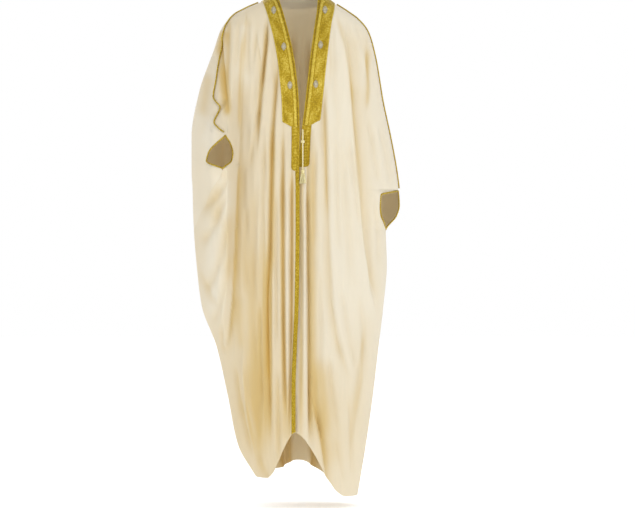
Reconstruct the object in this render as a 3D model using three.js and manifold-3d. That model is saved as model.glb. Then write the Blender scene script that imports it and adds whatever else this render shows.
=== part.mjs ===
// Bisht: a wide open-fronted cloak of thin cream cloth, with gold bands at the neck and front edges,
// gold piping on the shoulder seams and cuffs, silver motifs on the band and a tie cord with a tassel.
// It keeps the hollow form and pose of a worn cloak: one hand comes forward through its cuff, the
// other hangs by the side. Millimetres, +Z up, the front looks along -Y, and +X is the side of the
// left sleeve. The origin is where the cloak rests on the shoulders, on the line through the neck.

import * as THREE from "three";
import { mergeVertices } from "three/addons/utils/BufferGeometryUtils.js";
import Module from "manifold-3d";

const wasm = await Module();
wasm.setup();

const RIGHT = -1;
const LEFT = 1;

// Cloth and trim sizes. The wide band ends in a slant, from its outer corner in to the narrow band.
const WALL = 2;
const SEAM_GAP = 0.3;
const PANEL_GAP_SHARE = 0.7;
const BAND_THICKNESS = 1.5;
const EDGING_THICKNESS = 1.0;
const MOTIF_THICKNESS = 1.0;
const WIDE_BAND = {
  top: 40,
  width: 51,
  corner: 7,
  [RIGHT]: { outerBottom: -386, innerBottom: -397 },
  [LEFT]: { outerBottom: -380, innerBottom: -391 },
};
const NARROW_BAND = {
  corner: 12,
  [RIGHT]: { widthAtTop: 24, width: 24, bottom: -526 },
  [LEFT]: { widthAtTop: 27, width: 31, bottom: -514 },
};
const NECK_BAND_LEVEL = 25;
const EDGING = { width: 12, top: -526.4, bottom: -1330, corner: 1 };
const OUTLINE_BEYOND = 30;
const OUTLINE_STATIONS = { wide: 16, narrow: 6, edging: 14, corner: 4 };
const MOTIF = { width: 15, height: 25, lobes: 4, lobeDepth: 0.16, points: 24 };
const PIPING_RADIUS = 2.2;
const PIPING_SIDES = 6;
const PIPING_LIFT = 0.5;
const PIPING_START = 30;
const PIPING_CLEAR_OF_CUFF = 7;
const LEAST_CORNER_SINE = 0.4;

// Mesh density
const LEVELS = [
  0, 12, 25, 50, 80, 115, 160, 205, 250, 300, 342, 364, 398, 414, 425, 450, 475, 500, 523, 551, 579,
  593, 625, 655, 676, 700, 770, 850, 940, 1030, 1110, 1180, 1240, 1292,
];

// Rows of a table as objects, by the names of its columns
const table = (columns, rows) =>
  rows.map((row) => Object.fromEntries(row.map((value, i) => [columns[i], value])));

// Cross sections of the cloak. Each row is one ring round it: its level, the x of the two front
// edges, the reach and height of each side, the height of the middle of the back, and how far the
// ring stands before and behind the shoulder line. The front edge of a ring lies at z = -level.
const SECTION_COLUMNS = [
  "level", "edgeR", "edgeL", "reachR", "sideR", "reachL", "sideL", "backZ", "front", "back",
];
const SECTIONS = table(SECTION_COLUMNS, [
  [0, -60, 60, 68, 8, 68, 8, 12, 48, 76],
  [25, -53, 58, 109, -21, 106, -24, -36, 72, 94],
  [50, -45, 56, 150, -39, 143, -48, -66, 90, 106],
  [105, -30, 48, 192, -62, 178, -74, -114, 116, 124],
  [165, -16, 40, 226, -98, 206, -110, -168, 136, 138],
  [240, -4, 31, 252, -170, 228, -186, -245, 150, 149],
  [330, 4, 21, 294, -290, 250, -316, -333, 158, 158],
  [425, 6, 10, 316, -418, 273, -424, -425, 164, 166],
  [523, 5, 3, 316, -523, 291, -523, -523, 168, 172],
  [579, 6, 1, 313, -579, 298, -579, -579, 170, 175],
  [625, 6, 1, 312, -625, 301, -625, -625, 171, 177],
  [655, 6, 1, 311, -655, 293, -655, -655, 172, 178],
  [700, 6, 1, 309, -700, 261, -700, -700, 172, 180],
  [800, 5, 0, 301, -800, 264, -800, -800, 173, 183],
  [920, 3, -2, 286, -921, 254, -920, -925, 174, 187],
  [1040, -2, -7, 242, -1042, 238, -1054, -1065, 174, 191],
  [1160, -6, -11, 208, -1190, 222, -1190, -1212, 174, 194],
  [1240, -6, -11, 178, -1335, 200, -1345, -1318, 174, 196],
  [1292, -6, -11, 126, -1427, 177, -1482, -1390, 174, 198],
]);
const ROUNDNESS = 0.85;
const HEM_FALL_SHARE = { [RIGHT]: 0.72, [LEFT]: 0.82 };

// Where the right shoulder seam, with its piping, crosses each level: it comes forward down the arm
// to the top of the cuff, with two loose waves over the elbow, and goes back to the side below it. The
// left one keeps to the side.
const RIGHT_SEAM = table(["level", "x"], [
  [25, -109],
  [50, -148],
  [105, -189],
  [165, -215],
  [240, -228],
  [300, -238],
  [342, -247],
  [364, -230],
  [398, -243],
  [414, -226],
  [425, -209],
  [475, -212],
  [523, -218],
  [600, -262],
  [700, -309],
]);

// The cuffs are left open in the seams: the x of the front and the rear lip at each level.
const CUFFS = {
  [RIGHT]: [
    { level: 425, frontLip: -209, rearLip: -209 },
    { level: 450, frontLip: -194, rearLip: -240 },
    { level: 475, frontLip: -188, rearLip: -262 },
    { level: 500, frontLip: -192, rearLip: -268 },
    { level: 523, frontLip: -218, rearLip: -218 },
  ],
  [LEFT]: [
    { level: 579, frontLip: 298, rearLip: 298 },
    { level: 593, frontLip: 244, rearLip: 298 },
    { level: 625, frontLip: 241, rearLip: 300 },
    { level: 655, frontLip: 244, rearLip: 292 },
    { level: 676, frontLip: 252, rearLip: 275 },
    { level: 700, frontLip: 261, rearLip: 261 },
  ],
};

// The right forearm lifts the cloth forward: how far, by height, and the line of the steep wall that
// the cloth makes beside it.
const FOREARM_OUT = [
  { z: -50, out: 0 },
  { z: -160, out: 12 },
  { z: -300, out: 55 },
  { z: -400, out: 105 },
  { z: -480, out: 125 },
  { z: -600, out: 96 },
  { z: -850, out: 48 },
  { z: -1050, out: 20 },
  { z: -1250, out: 0 },
];
const FOREARM_WALL = [
  { z: -60, x: -150 },
  { z: -250, x: -163 },
  { z: -500, x: -174 },
  { z: -800, x: -180 },
  { z: -1050, x: -208 },
];
const FOREARM_WALL_WIDTH = 34;
const FOREARM_SIDE_SHARE = 0.8;

// Folds. Each row is one trough, or one ridge where the depth is negative: its line as pairs of level
// and x, its depth, and its half width towards the front edge (or the middle of the back) and towards
// the side.
const FOLD_COLUMNS = ["name", "depth", "near", "far", "line"];
const FOLDS = {
  frontR: table(FOLD_COLUMNS, [
    ["by the edging", 15, 8, 12, [[520, -17], [900, -18], [1290, -24]]],
    ["first long", 24, 12, 13, [[400, -45], [850, -44], [1290, -37]]],
    ["second long", 28, 13, 17, [[205, -58], [430, -75], [800, -84], [1340, -84]]],
    ["chest", 12, 13, 15, [[80, -92], [280, -104], [460, -121]]],
    ["shoulder", 7, 9, 9, [[120, -116], [260, -134]]],
    ["flank", 17, 16, 18, [[560, -128], [900, -136], [1290, -110]]],
    ["arm", 10, 14, 14, [[92, -206], [300, -209], [383, -194]]],
    ["wing", 22, 16, 22, [[560, -236], [800, -243], [1010, -226]]],
    ["low ridge", -14, 11, 11, [[1060, -163], [1190, -146], [1270, -120]]],
  ]),
  frontL: table(FOLD_COLUMNS, [
    ["by the turned edge", 20, 9, 17, [[560, 27], [900, 29], [1290, 34]]],
    ["first long", 16, 14, 15, [[300, 79], [550, 86], [880, 97], [1000, 117], [1120, 152]]],
    ["second long", 16, 16, 18, [[100, 116], [220, 150], [550, 181], [850, 218], [960, 238]]],
    ["sleeve", 10, 12, 12, [[150, 211], [345, 202]]],
    ["chest", 9, 12, 12, [[120, 88], [420, 122]]],
    ["thigh", 9, 15, 15, [[420, 128], [860, 158]]],
    ["hem", 17, 13, 16, [[1180, 38], [1250, 66], [1330, 98]]],
    ["side", 14, 17, 17, [[960, 208], [1250, 160]]],
  ]),
  backR: table(FOLD_COLUMNS, [
    ["middle", 28, 16, 19, [[90, -14], [700, -24], [1380, -30]]],
    ["second", 33, 18, 20, [[170, -62], [700, -82], [1400, -62]]],
    ["shoulder blade", 22, 15, 17, [[80, -104], [600, -132], [1200, -104]]],
    ["arm", 35, 19, 22, [[150, -160], [600, -192], [1240, -140]]],
    ["wing", 24, 19, 22, [[380, -236], [700, -248], [1100, -196]]],
  ]),
  backL: table(FOLD_COLUMNS, [
    ["middle", 31, 17, 19, [[130, 34], [700, 40], [1420, 46]]],
    ["second", 24, 15, 18, [[90, 84], [700, 98], [1300, 92]]],
    ["arm", 34, 19, 21, [[140, 134], [600, 158], [1440, 134]]],
    ["sleeve", 22, 17, 19, [[260, 194], [650, 222], [1150, 190]]],
  ]),
};
const FOLD_END_FADE = 90;

// The bands keep the cloth flat: no fold within this width of the front edge, by height.
const FLAT_BY_THE_BAND = { least: 6, from: -443, full: -363, fade: 8, sharpest: 0.7 };
const FOLDS_END_ACROSS = 0.88;

// Mesh columns. They follow the long folds, in the order given, with so many columns before the
// first of them, between each two, and after the last, as far as the seam.
const COLUMNS = {
  frontR: {
    along: ["by the edging", "first long", "second long", "flank", "wall"],
    counts: [2, 2, 3, 3, 3, 6],
  },
  frontL: { along: ["by the turned edge", "first long", "second long"], counts: [3, 4, 5, 7] },
  backR: {
    along: ["middle", "second", "shoulder blade", "arm", "wing"],
    counts: [2, 3, 3, 3, 3, 6],
  },
  backL: { along: ["middle", "second", "arm", "sleeve"], counts: [2, 3, 3, 3, 4] },
};
const LEAST_COLUMN_SHARE = { before: 0.01, after: 0.008 };
const COLUMNS_FOLLOW = { from: 60, full: 190 };
const TURNED_EDGE = { depth: 8, width: 26, from: -400, full: -500 };

// Silver motifs on the wide band, as places in the front view
const MOTIFS = {
  [RIGHT]: [
    { x: -71, z: -51 },
    { x: -41, z: -160 },
    { x: -23, z: -274 },
  ],
  [LEFT]: [
    { x: 80, z: -50 },
    { x: 67, z: -155 },
    { x: 53, z: -271 },
  ],
};

// Tie cord and tassel
const CORD = { x: 15, radius: 2, sides: 8, top: -404, stepLength: 7, sag: 1.5 };
const BEAD = { z: -440, radius: 5.8, height: 11, out: 1 };
const TASSEL = { headTop: -521, headRadius: 5, headHeight: 12, end: -563, halfWidth: 11, halfDepth: 7 };
const STRANDS = [
  { share: 0.92, count: 14 },
  { share: 0.5, count: 7 },
  { share: 0, count: 1 },
];
const STRAND_RADIUS = 0.75;
const TASSEL_OUT = 11;

// Smooth curve through one column of a table, with no overshoot between its rows.
function curveAt(rows, key, column, at) {
  const along = (i) => rows[i][key];
  const last = rows.length - 1;
  const falling = along(last) < along(0) ? -1 : 1;
  if ((at - along(0)) * falling <= 0) return rows[0][column];
  if ((at - along(last)) * falling >= 0) return rows[last][column];
  let i = 0;
  while ((at - along(i + 1)) * falling > 0) i++;
  const slope = (k) => (rows[k + 1][column] - rows[k][column]) / (along(k + 1) - along(k));
  const tangent = (k) => {
    if (k === 0 || k === last) return k === 0 ? slope(0) : slope(last - 1);
    const before = slope(k - 1);
    const after = slope(k);
    return before * after <= 0 ? 0 : (2 * before * after) / (before + after);
  };
  const span = along(i + 1) - along(i);
  const u = (at - along(i)) / span;
  return (
    rows[i][column] * (1 + 2 * u) * (1 - u) ** 2 +
    rows[i + 1][column] * u * u * (3 - 2 * u) +
    tangent(i) * span * u * (1 - u) ** 2 -
    tangent(i + 1) * span * u * u * (1 - u)
  );
}

function smoothStep(from, to, value) {
  const k = Math.min(1, Math.max(0, (value - from) / (to - from)));
  return k * k * (3 - 2 * k);
}

// The measures of one side of the ring at a level.
function sectionAt(side, level) {
  const read = (column) => curveAt(SECTIONS, "level", column, level);
  const letter = side === RIGHT ? "R" : "L";
  return {
    edge: read("edge" + letter),
    edgeZ: -level,
    tip: side * read("reach" + letter),
    sideZ: read("side" + letter),
    backZ: read("backZ"),
    front: read("front"),
    back: read("back"),
    fall: 1 - (1 - HEM_FALL_SHARE[side]) * smoothStep(1100, 1292, level),
  };
}

// A point of the plain ring: the angle is 0 at the front edge, a quarter turn at the side and half a
// turn in the middle of the back.
function ringPoint(side, angle, level) {
  const s = sectionAt(side, level);
  const across = Math.abs(Math.sin(angle)) ** ROUNDNESS;
  const along = Math.abs(Math.cos(angle)) ** ROUNDNESS;
  if (angle <= Math.PI / 2) {
    const z = s.edgeZ + (s.sideZ - s.edgeZ) * smoothStep(0, s.fall, across);
    return { x: s.edge + (s.tip - s.edge) * across, y: -s.front * along, z, across, s };
  }
  const z = s.backZ + (s.sideZ - s.backZ) * smoothStep(0, 1, across);
  return { x: s.tip * across, y: s.back * along, z, across, s };
}

// The angle in the front half of a ring at which it passes x.
function frontAngle(side, x, level) {
  const s = sectionAt(side, level);
  const across = Math.min(1, Math.max(0, (x - s.edge) / (s.tip - s.edge)));
  return Math.asin(across ** (1 / ROUNDNESS));
}

// The x of a fold's line at a level.
function foldLine(fold, level) {
  const rows = fold.line.map(([lineLevel, x]) => ({ level: lineLevel, x }));
  return curveAt(rows, "level", "x", level);
}

// How deep one fold is at a place, in mm inwards.
function foldDepth(fold, x, level, side) {
  const first = fold.line[0][0];
  const last = fold.line[fold.line.length - 1][0];
  const ends =
    smoothStep(first - FOLD_END_FADE / 3, first + FOLD_END_FADE, level) *
    smoothStep(last + FOLD_END_FADE / 3, last - FOLD_END_FADE, level);
  if (ends === 0) return 0;
  const away = (x - foldLine(fold, level)) * side;
  const width = away < 0 ? fold.near : fold.far;
  return fold.depth * ends * Math.exp(-((away / width) ** 2));
}

function partName(side, isFront) {
  return (isFront ? "front" : "back") + (side === RIGHT ? "R" : "L");
}

// Width beside a front edge that a band keeps flat.
function flatWidth(z) {
  const { least, from, full } = FLAT_BY_THE_BAND;
  return least + (WIDE_BAND.width - least) * smoothStep(from, full, z);
}

// The cloak's outer face: the ring, its folds along the ring's normal, the forearm's lift forward,
// and the left front edge turned in behind the right one.
function clothPoint(side, angle, level) {
  const p = ringPoint(side, angle, level);
  const isFront = angle <= Math.PI / 2;
  const step = 0.01;
  const a = ringPoint(side, Math.max(0, angle - step), level);
  const b = ringPoint(side, Math.min(Math.PI, angle + step), level);
  const outX = (b.y - a.y) * side;
  const outY = (b.x - a.x) * side;
  const length = Math.hypot(outX, outY) || 1;
  let inwards = 0;
  for (const fold of FOLDS[partName(side, isFront)]) inwards += foldDepth(fold, p.x, level, side);
  inwards *= 1 - smoothStep(FOLDS_END_ACROSS, 1, p.across);
  let forward = 0;
  if (isFront) {
    const fromEdge = (p.x - p.s.edge) * side;
    const flat = flatWidth(p.z);
    inwards *= smoothStep(flat * FLAT_BY_THE_BAND.sharpest, flat + FLAT_BY_THE_BAND.fade, fromEdge);
    if (side === RIGHT) {
      const wall = curveAt(FOREARM_WALL, "z", "x", p.z);
      forward =
        curveAt(FOREARM_OUT, "z", "out", p.z) *
        smoothStep(0, FOREARM_WALL_WIDTH, wall - p.x) *
        (1 - smoothStep(FOREARM_SIDE_SHARE, 1, p.across));
    } else {
      forward =
        -TURNED_EDGE.depth *
        smoothStep(TURNED_EDGE.from, TURNED_EDGE.full, p.z) *
        (1 - smoothStep(0, TURNED_EDGE.width, fromEdge));
    }
  }
  const sign = isFront ? 1 : -1;
  return new THREE.Vector3(
    p.x - (outX / length) * inwards,
    p.y + (Math.abs(outY) / length) * inwards * sign - forward,
    p.z,
  );
}

// The outward normal of the cloak's outer face, the same for both pieces at a seam.
function clothNormal(side, angle, level) {
  const turn = 0.02;
  const rise = 3;
  const low = Math.max(0, angle - turn);
  const high = Math.min(Math.PI, angle + turn);
  const up = Math.max(0, level - rise);
  const down = Math.min(LEVELS[LEVELS.length - 1], level + rise);
  const across = clothPoint(side, high, level).sub(clothPoint(side, low, level));
  const along = clothPoint(side, angle, down).sub(clothPoint(side, angle, up));
  return across.cross(along).multiplyScalar(-side).normalize();
}

// The angles of the seam's front and rear lips at a level.
function seamAngles(side, level) {
  const cuff = CUFFS[side];
  const seam =
    side === RIGHT && level < 700 && level >= 25
      ? frontAngle(side, curveAt(RIGHT_SEAM, "level", "x", level), level)
      : Math.PI / 2;
  const inCuff = level > cuff[0].level && level < cuff[cuff.length - 1].level;
  if (!inCuff) return { front: seam, rear: seam, seam };
  const front = frontAngle(side, curveAt(cuff, "level", "frontLip", level), level);
  const rear =
    side === RIGHT ? frontAngle(side, curveAt(cuff, "level", "rearLip", level), level) : seam;
  return { front, rear, seam };
}

// The angle in the back half of a ring at which it passes x.
function backAngle(side, x, level) {
  const share = Math.min(1, Math.abs(x / sectionAt(side, level).tip));
  return Math.PI - Math.asin(share ** (1 / ROUNDNESS));
}

// Angles of a panel's columns, from the front edge or the middle of the back to the seam. They
// follow the long folds, and are even round the ring near the neck, where those folds have ended.
function columnAngles(side, level, isFront, seam) {
  const name = partName(side, isFront);
  const { along, counts } = COLUMNS[name];
  const start = isFront ? 0 : Math.PI;
  const whole = seam - start;
  const shares = along.map((foldName) => {
    const fold = FOLDS[name].find((row) => row.name === foldName);
    const x = fold ? foldLine(fold, level) : curveAt(FOREARM_WALL, "z", "x", -level);
    return ((isFront ? frontAngle : backAngle)(side, x, level) - start) / whole;
  });
  const knots = [0, ...shares, 1];
  for (let k = 1; k < knots.length - 1; k++) {
    knots[k] = Math.max(knots[k], knots[k - 1] + LEAST_COLUMN_SHARE.before * counts[k - 1]);
  }
  for (let k = knots.length - 2; k > 0; k--) {
    knots[k] = Math.min(knots[k], knots[k + 1] - LEAST_COLUMN_SHARE.after * counts[k]);
  }
  const total = counts.reduce((sum, count) => sum + count, 0);
  const follow = smoothStep(COLUMNS_FOLLOW.from, COLUMNS_FOLLOW.full, level);
  const angles = [start];
  counts.forEach((count, k) => {
    for (let i = 1; i <= count; i++) {
      const followed = knots[k] + ((knots[k + 1] - knots[k]) * i) / count;
      const even = angles.length / total;
      angles.push(start + whole * (even + (followed - even) * follow));
    }
  });
  return angles;
}

// Moves the columns after the last long fold, so that the panel ends at a lip of the cuff.
function endAt(angles, end, name) {
  const counts = COLUMNS[name].counts;
  const keep = angles.length - 1 - counts[counts.length - 1];
  const stretch = (end - angles[keep]) / (angles[angles.length - 1] - angles[keep]);
  return angles.map((a, i) => (i <= keep ? a : angles[keep] + (a - angles[keep]) * stretch));
}

// Each panel's share of the gap at a seam, as an angle.
function gapAngle(side, level, angle) {
  const turn = 0.01;
  const a = clothPoint(side, angle - turn, level);
  const b = clothPoint(side, angle + turn, level);
  return (SEAM_GAP * PANEL_GAP_SHARE * 2 * turn) / a.distanceTo(b);
}

// The grid of a panel: for each level, the side and angle of each column.
function frontGrid(side) {
  return LEVELS.map((level) => {
    const lips = seamAngles(side, level);
    const plain = columnAngles(side, level, true, lips.seam);
    const end = lips.front - gapAngle(side, level, lips.front - 0.02);
    return endAt(plain, end, partName(side, true)).map((angle) => ({ side, angle, level }));
  });
}

function backGrid() {
  const half = (side, level) => {
    const lips = seamAngles(side, level);
    const plain = columnAngles(side, level, false, lips.seam);
    const end = lips.rear + gapAngle(side, level, lips.rear + 0.02);
    return endAt(plain, end, partName(side, false))
      .reverse()
      .map((angle) => ({ side, angle, level }));
  };
  return LEVELS.map((level) => [...half(RIGHT, level), ...half(LEFT, level).reverse().slice(1)]);
}

// Points of a grid, moved out along the cloth's normal.
function movedOut(grid, distance) {
  return grid.map((row) =>
    row.map(({ side, angle, level }) =>
      clothPoint(side, angle, level).addScaledVector(clothNormal(side, angle, level), distance),
    ),
  );
}

// A closed wall between two grids of the same size.
function wallBetween(outer, inner) {
  const rows = outer.length;
  const columns = outer[0].length;
  const size = rows * columns;
  const points = [...outer.flat(), ...inner.flat()];
  const faces = [];
  const at = (r, c) => r * columns + c;
  const quad = (a, b, c, d, cutAC) => {
    if (cutAC) faces.push(a, b, c, a, c, d);
    else faces.push(a, b, d, b, c, d);
  };
  for (let r = 0; r < rows - 1; r++) {
    for (let c = 0; c < columns - 1; c++) {
      const corners = [at(r, c), at(r + 1, c), at(r + 1, c + 1), at(r, c + 1)];
      const [p, q, s, t] = corners.map((i) => points[i]);
      const cutAC = p.distanceTo(s) <= q.distanceTo(t);
      quad(...corners, cutAC);
      const [e, f, g, h] = corners.map((i) => i + size);
      if (cutAC) faces.push(e, g, f, e, h, g);
      else faces.push(e, h, f, f, h, g);
    }
  }
  const rim = (a, b) => faces.push(b, a, a + size, b, a + size, b + size);
  for (let c = 0; c < columns - 1; c++) {
    rim(at(0, c + 1), at(0, c));
    rim(at(rows - 1, c), at(rows - 1, c + 1));
  }
  // The rims of both sides of a seam are cut along the same diagonal, so that they stay parallel.
  for (let r = 0; r < rows - 1; r++) {
    const [a, b] = [at(r, 0), at(r + 1, 0)];
    faces.push(b, a, b + size, a, a + size, b + size);
    rim(at(r + 1, columns - 1), at(r, columns - 1));
  }
  return facingOut(points, faces);
}

// A geometry from points and faces, turned so that its faces look outwards.
function facingOut(points, faces) {
  let volume = 0;
  for (let i = 0; i < faces.length; i += 3) {
    const [a, b, c] = [points[faces[i]], points[faces[i + 1]], points[faces[i + 2]]];
    volume += a.dot(b.clone().cross(c));
  }
  if (volume < 0) faces = faces.slice().reverse();
  const geometry = new THREE.BufferGeometry();
  geometry.setAttribute("position", new THREE.Float32BufferAttribute(points.flatMap((p) => p.toArray()), 3));
  geometry.setIndex(faces);
  return geometry;
}

function layer(grid, from, thickness) {
  return wallBetween(movedOut(grid, from + thickness), movedOut(grid, from));
}

// Joins and cuts of closed geometries
function solidOf(geometry) {
  const plain = geometry.clone();
  plain.deleteAttribute("normal");
  plain.deleteAttribute("uv");
  const merged = mergeVertices(plain, 1e-4);
  return new wasm.Manifold(
    new wasm.Mesh({
      numProp: 3,
      vertProperties: merged.attributes.position.array,
      triVerts: new Uint32Array(merged.index.array),
    }),
  );
}

function geometryOf(solid) {
  const mesh = solid.getMesh();
  const geometry = new THREE.BufferGeometry();
  geometry.setAttribute("position", new THREE.BufferAttribute(mesh.vertProperties, 3));
  geometry.setIndex(new THREE.BufferAttribute(mesh.triVerts, 1));
  return geometry;
}

// A block with an outline in the front view, through the whole front of the cloak.
const FRONT_BLOCK = { depth: 460, rear: 60 };

function frontBlock(outline) {
  const { depth, rear } = FRONT_BLOCK;
  const block = new THREE.ExtrudeGeometry(new THREE.Shape(outline), { depth, bevelEnabled: false });
  return block.rotateX(Math.PI / 2).translate(0, rear, 0);
}

// The part of a layer on a front panel that an outline in the front view cuts out.
function cutFromFront(grid, from, thickness, outline) {
  return geometryOf(solidOf(layer(grid, from, thickness)).intersect(solidOf(frontBlock(outline))));
}

// Outline of a strip along a front edge, with its lower outer corner rounded. Its width goes from
// the one at the top to the one at the bottom. With a slant, its bottom falls from the outer corner
// to the slant's end, so far from the front edge, and is level from there.
function stripOutline(side, strip, stations, slant) {
  const { top, bottom, corner, widthAtTop, width } = strip;
  const edge = (z) => sectionAt(side, Math.max(0, -z)).edge;
  const outer = (z) => edge(z) + side * (width + ((widthAtTop - width) * (z - bottom)) / (top - bottom));
  const beyond = (z) => edge(z) - side * OUTLINE_BEYOND;
  const points = [];
  for (let i = 0; i <= stations; i++) {
    const z = top + ((bottom + corner - top) * i) / stations;
    points.push(new THREE.Vector2(outer(z), z));
  }
  for (let i = 1; i <= OUTLINE_STATIONS.corner; i++) {
    const turn = (i / OUTLINE_STATIONS.corner) * (Math.PI / 2);
    const inset = corner * (1 - Math.cos(turn));
    points.push(new THREE.Vector2(outer(bottom) - side * inset, bottom + corner * (1 - Math.sin(turn))));
  }
  const lowest = slant ? slant.bottom : bottom;
  if (slant) points.push(new THREE.Vector2(edge(lowest) + side * slant.fromEdge, lowest));
  for (let i = stations; i >= 0; i--) {
    const z = top + ((lowest - top) * i) / stations;
    points.push(new THREE.Vector2(beyond(z), z));
  }
  return side === RIGHT ? points : points.reverse();
}

function motifOutline(centre) {
  const points = [];
  for (let i = 0; i < MOTIF.points; i++) {
    const turn = (i / MOTIF.points) * 2 * Math.PI;
    const reach = 1 - MOTIF.lobeDepth + MOTIF.lobeDepth * Math.cos(MOTIF.lobes * turn);
    points.push(
      new THREE.Vector2(
        centre.x + (MOTIF.width / 2) * reach * Math.cos(turn),
        centre.z + (MOTIF.height / 2) * reach * Math.sin(turn),
      ),
    );
  }
  return points;
}

// A round roll along a line of places on the cloth. Its centres are the places' points moved off the
// cloth.
function roll(places, centres, radius, sides, isClosed) {
  const count = centres.length;
  const points = [];
  centres.forEach((centre, i) => {
    const before = centres[isClosed ? (i + count - 1) % count : Math.max(0, i - 1)];
    const after = centres[isClosed ? (i + 1) % count : Math.min(count - 1, i + 1)];
    const tangent = after.clone().sub(before).normalize();
    const { side, angle, level } = places[i];
    const out = clothNormal(side, angle, level);
    out.addScaledVector(tangent, -out.dot(tangent)).normalize();
    const across = tangent.clone().cross(out);
    for (let k = 0; k < sides; k++) {
      const turn = (k / sides) * 2 * Math.PI;
      points.push(
        centre
          .clone()
          .addScaledVector(out, radius * Math.cos(turn))
          .addScaledVector(across, radius * Math.sin(turn)),
      );
    }
  });
  const faces = [];
  const rings = isClosed ? count : count - 1;
  for (let i = 0; i < rings; i++) {
    for (let k = 0; k < sides; k++) {
      const a = i * sides + k;
      const b = i * sides + ((k + 1) % sides);
      const c = ((i + 1) % count) * sides + ((k + 1) % sides);
      const d = ((i + 1) % count) * sides + k;
      faces.push(a, b, c, a, c, d);
    }
  }
  if (!isClosed) {
    for (let k = 1; k < sides - 1; k++) {
      faces.push(0, k + 1, k);
      const base = (count - 1) * sides;
      faces.push(base, base + k, base + k + 1);
    }
  }
  return facingOut(points, faces);
}

// Centres of a roll that lies on the cloth's outer face.
function onTheFace(places, lift) {
  return places.map(({ side, angle, level }) =>
    clothPoint(side, angle, level).addScaledVector(clothNormal(side, angle, level), lift),
  );
}

// Centres of a roll that binds a closed rim: off the edge, towards the middle of the opening.
function offTheRim(places, gap) {
  const rim = places.map(({ side, angle, level }) =>
    clothPoint(side, angle, level).addScaledVector(clothNormal(side, angle, level), -WALL / 2),
  );
  const count = rim.length;
  const middle = new THREE.Vector3();
  rim.forEach((point) => middle.addScaledVector(point, 1 / count));
  return rim.map((point, i) => {
    const { side, angle, level } = places[i];
    const before = rim[(i + count - 1) % count].clone().sub(point).normalize();
    const after = rim[(i + 1) % count].clone().sub(point).normalize();
    const corner = Math.sin(before.angleTo(after) / 2);
    const tangent = after.clone().sub(before).normalize();
    const inwards = middle.clone().sub(point);
    for (const off of [tangent, clothNormal(side, angle, level)]) {
      inwards.addScaledVector(off, -inwards.dot(off));
    }
    return point.clone().addScaledVector(inwards.normalize(), gap / Math.max(LEAST_CORNER_SINE, corner));
  });
}

// Places along the shoulder seam, from the band to the cuff.
function shoulderSeam(side) {
  const cuffTop = CUFFS[side][0].level;
  const between = LEVELS.filter((level) => level > PIPING_START && level < cuffTop);
  const levels = [PIPING_START, ...between, cuffTop - PIPING_CLEAR_OF_CUFF];
  return levels.map((level) => ({ side, angle: seamAngles(side, level).seam, level }));
}

// Places round the cuff: down its front lip and back up its rear lip.
function cuffRim(side) {
  const rows = CUFFS[side];
  const top = rows[0].level;
  const bottom = rows[rows.length - 1].level;
  const levels = LEVELS.filter((level) => level >= top && level <= bottom);
  const down = levels.map((level) => ({ side, angle: seamAngles(side, level).front, level }));
  const up = levels.slice(1, -1).reverse();
  return [...down, ...up.map((level) => ({ side, angle: seamAngles(side, level).rear, level }))];
}

// The tassel: a turned head, and strands that stand apart below it, their roots fused into it.
function tassel(centre) {
  const profile = [
    [0, 0],
    [TASSEL.headRadius * 0.5, 0],
    [TASSEL.headRadius * 0.95, -TASSEL.headHeight * 0.25],
    [TASSEL.headRadius, -TASSEL.headHeight * 0.5],
    [TASSEL.headRadius * 0.72, -TASSEL.headHeight * 0.75],
    [TASSEL.headRadius * 0.95, -TASSEL.headHeight],
    [0, -TASSEL.headHeight],
  ];
  const head = new THREE.LatheGeometry(profile.map(([r, h]) => new THREE.Vector2(r, h)).reverse(), 10);
  head.rotateX(Math.PI / 2);
  let solid = solidOf(head);
  const neck = -TASSEL.headHeight + 2;
  const end = TASSEL.end - TASSEL.headTop;
  for (const { share, count } of STRANDS) {
    for (let i = 0; i < count; i++) {
      const turn = ((i + share) / count) * 2 * Math.PI;
      const ring = (z, reachX, reachY) =>
        new THREE.Vector3(share * reachX * Math.cos(turn), share * reachY * Math.sin(turn), z);
      const line = [
        ring(neck, TASSEL.headRadius - 1, TASSEL.headRadius - 1),
        ring(neck - 5, TASSEL.headRadius + 1, TASSEL.headRadius),
        ring((neck + end) / 2, TASSEL.halfWidth * 0.78, TASSEL.halfDepth * 0.9),
        ring(end, TASSEL.halfWidth, TASSEL.halfDepth),
      ];
      solid = solid.add(solidOf(strand(line, turn)));
    }
  }
  return geometryOf(solid).translate(centre.x, centre.y, centre.z);
}

// One three-sided strand down a short line.
function strand(line, turn) {
  const sides = 3;
  const points = [];
  for (const centre of line) {
    for (let k = 0; k < sides; k++) {
      const a = turn + (k / sides) * 2 * Math.PI;
      points.push(
        new THREE.Vector3(
          centre.x + STRAND_RADIUS * Math.cos(a),
          centre.y + STRAND_RADIUS * Math.sin(a),
          centre.z,
        ),
      );
    }
  }
  const faces = [0, 1, 2];
  const base = (line.length - 1) * sides;
  faces.push(base, base + 2, base + 1);
  for (let i = 0; i < line.length - 1; i++) {
    for (let k = 0; k < sides; k++) {
      const a = i * sides + k;
      const b = i * sides + ((k + 1) % sides);
      faces.push(a, a + sides, b + sides, a, b + sides, b);
    }
  }
  return facingOut(points, faces);
}

// A short length of the tie cord, down a curve.
function cordLength(points) {
  const section = new THREE.Shape();
  for (let k = 0; k < CORD.sides; k++) {
    const turn = (k / CORD.sides) * 2 * Math.PI;
    const [x, y] = [CORD.radius * Math.cos(turn), CORD.radius * Math.sin(turn)];
    if (k === 0) section.moveTo(x, y);
    else section.lineTo(x, y);
  }
  const path = new THREE.CatmullRomCurve3(points);
  const steps = Math.max(2, Math.round(path.getLength() / CORD.stepLength));
  return new THREE.ExtrudeGeometry(section, { steps, extrudePath: path, bevelEnabled: false });
}

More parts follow.
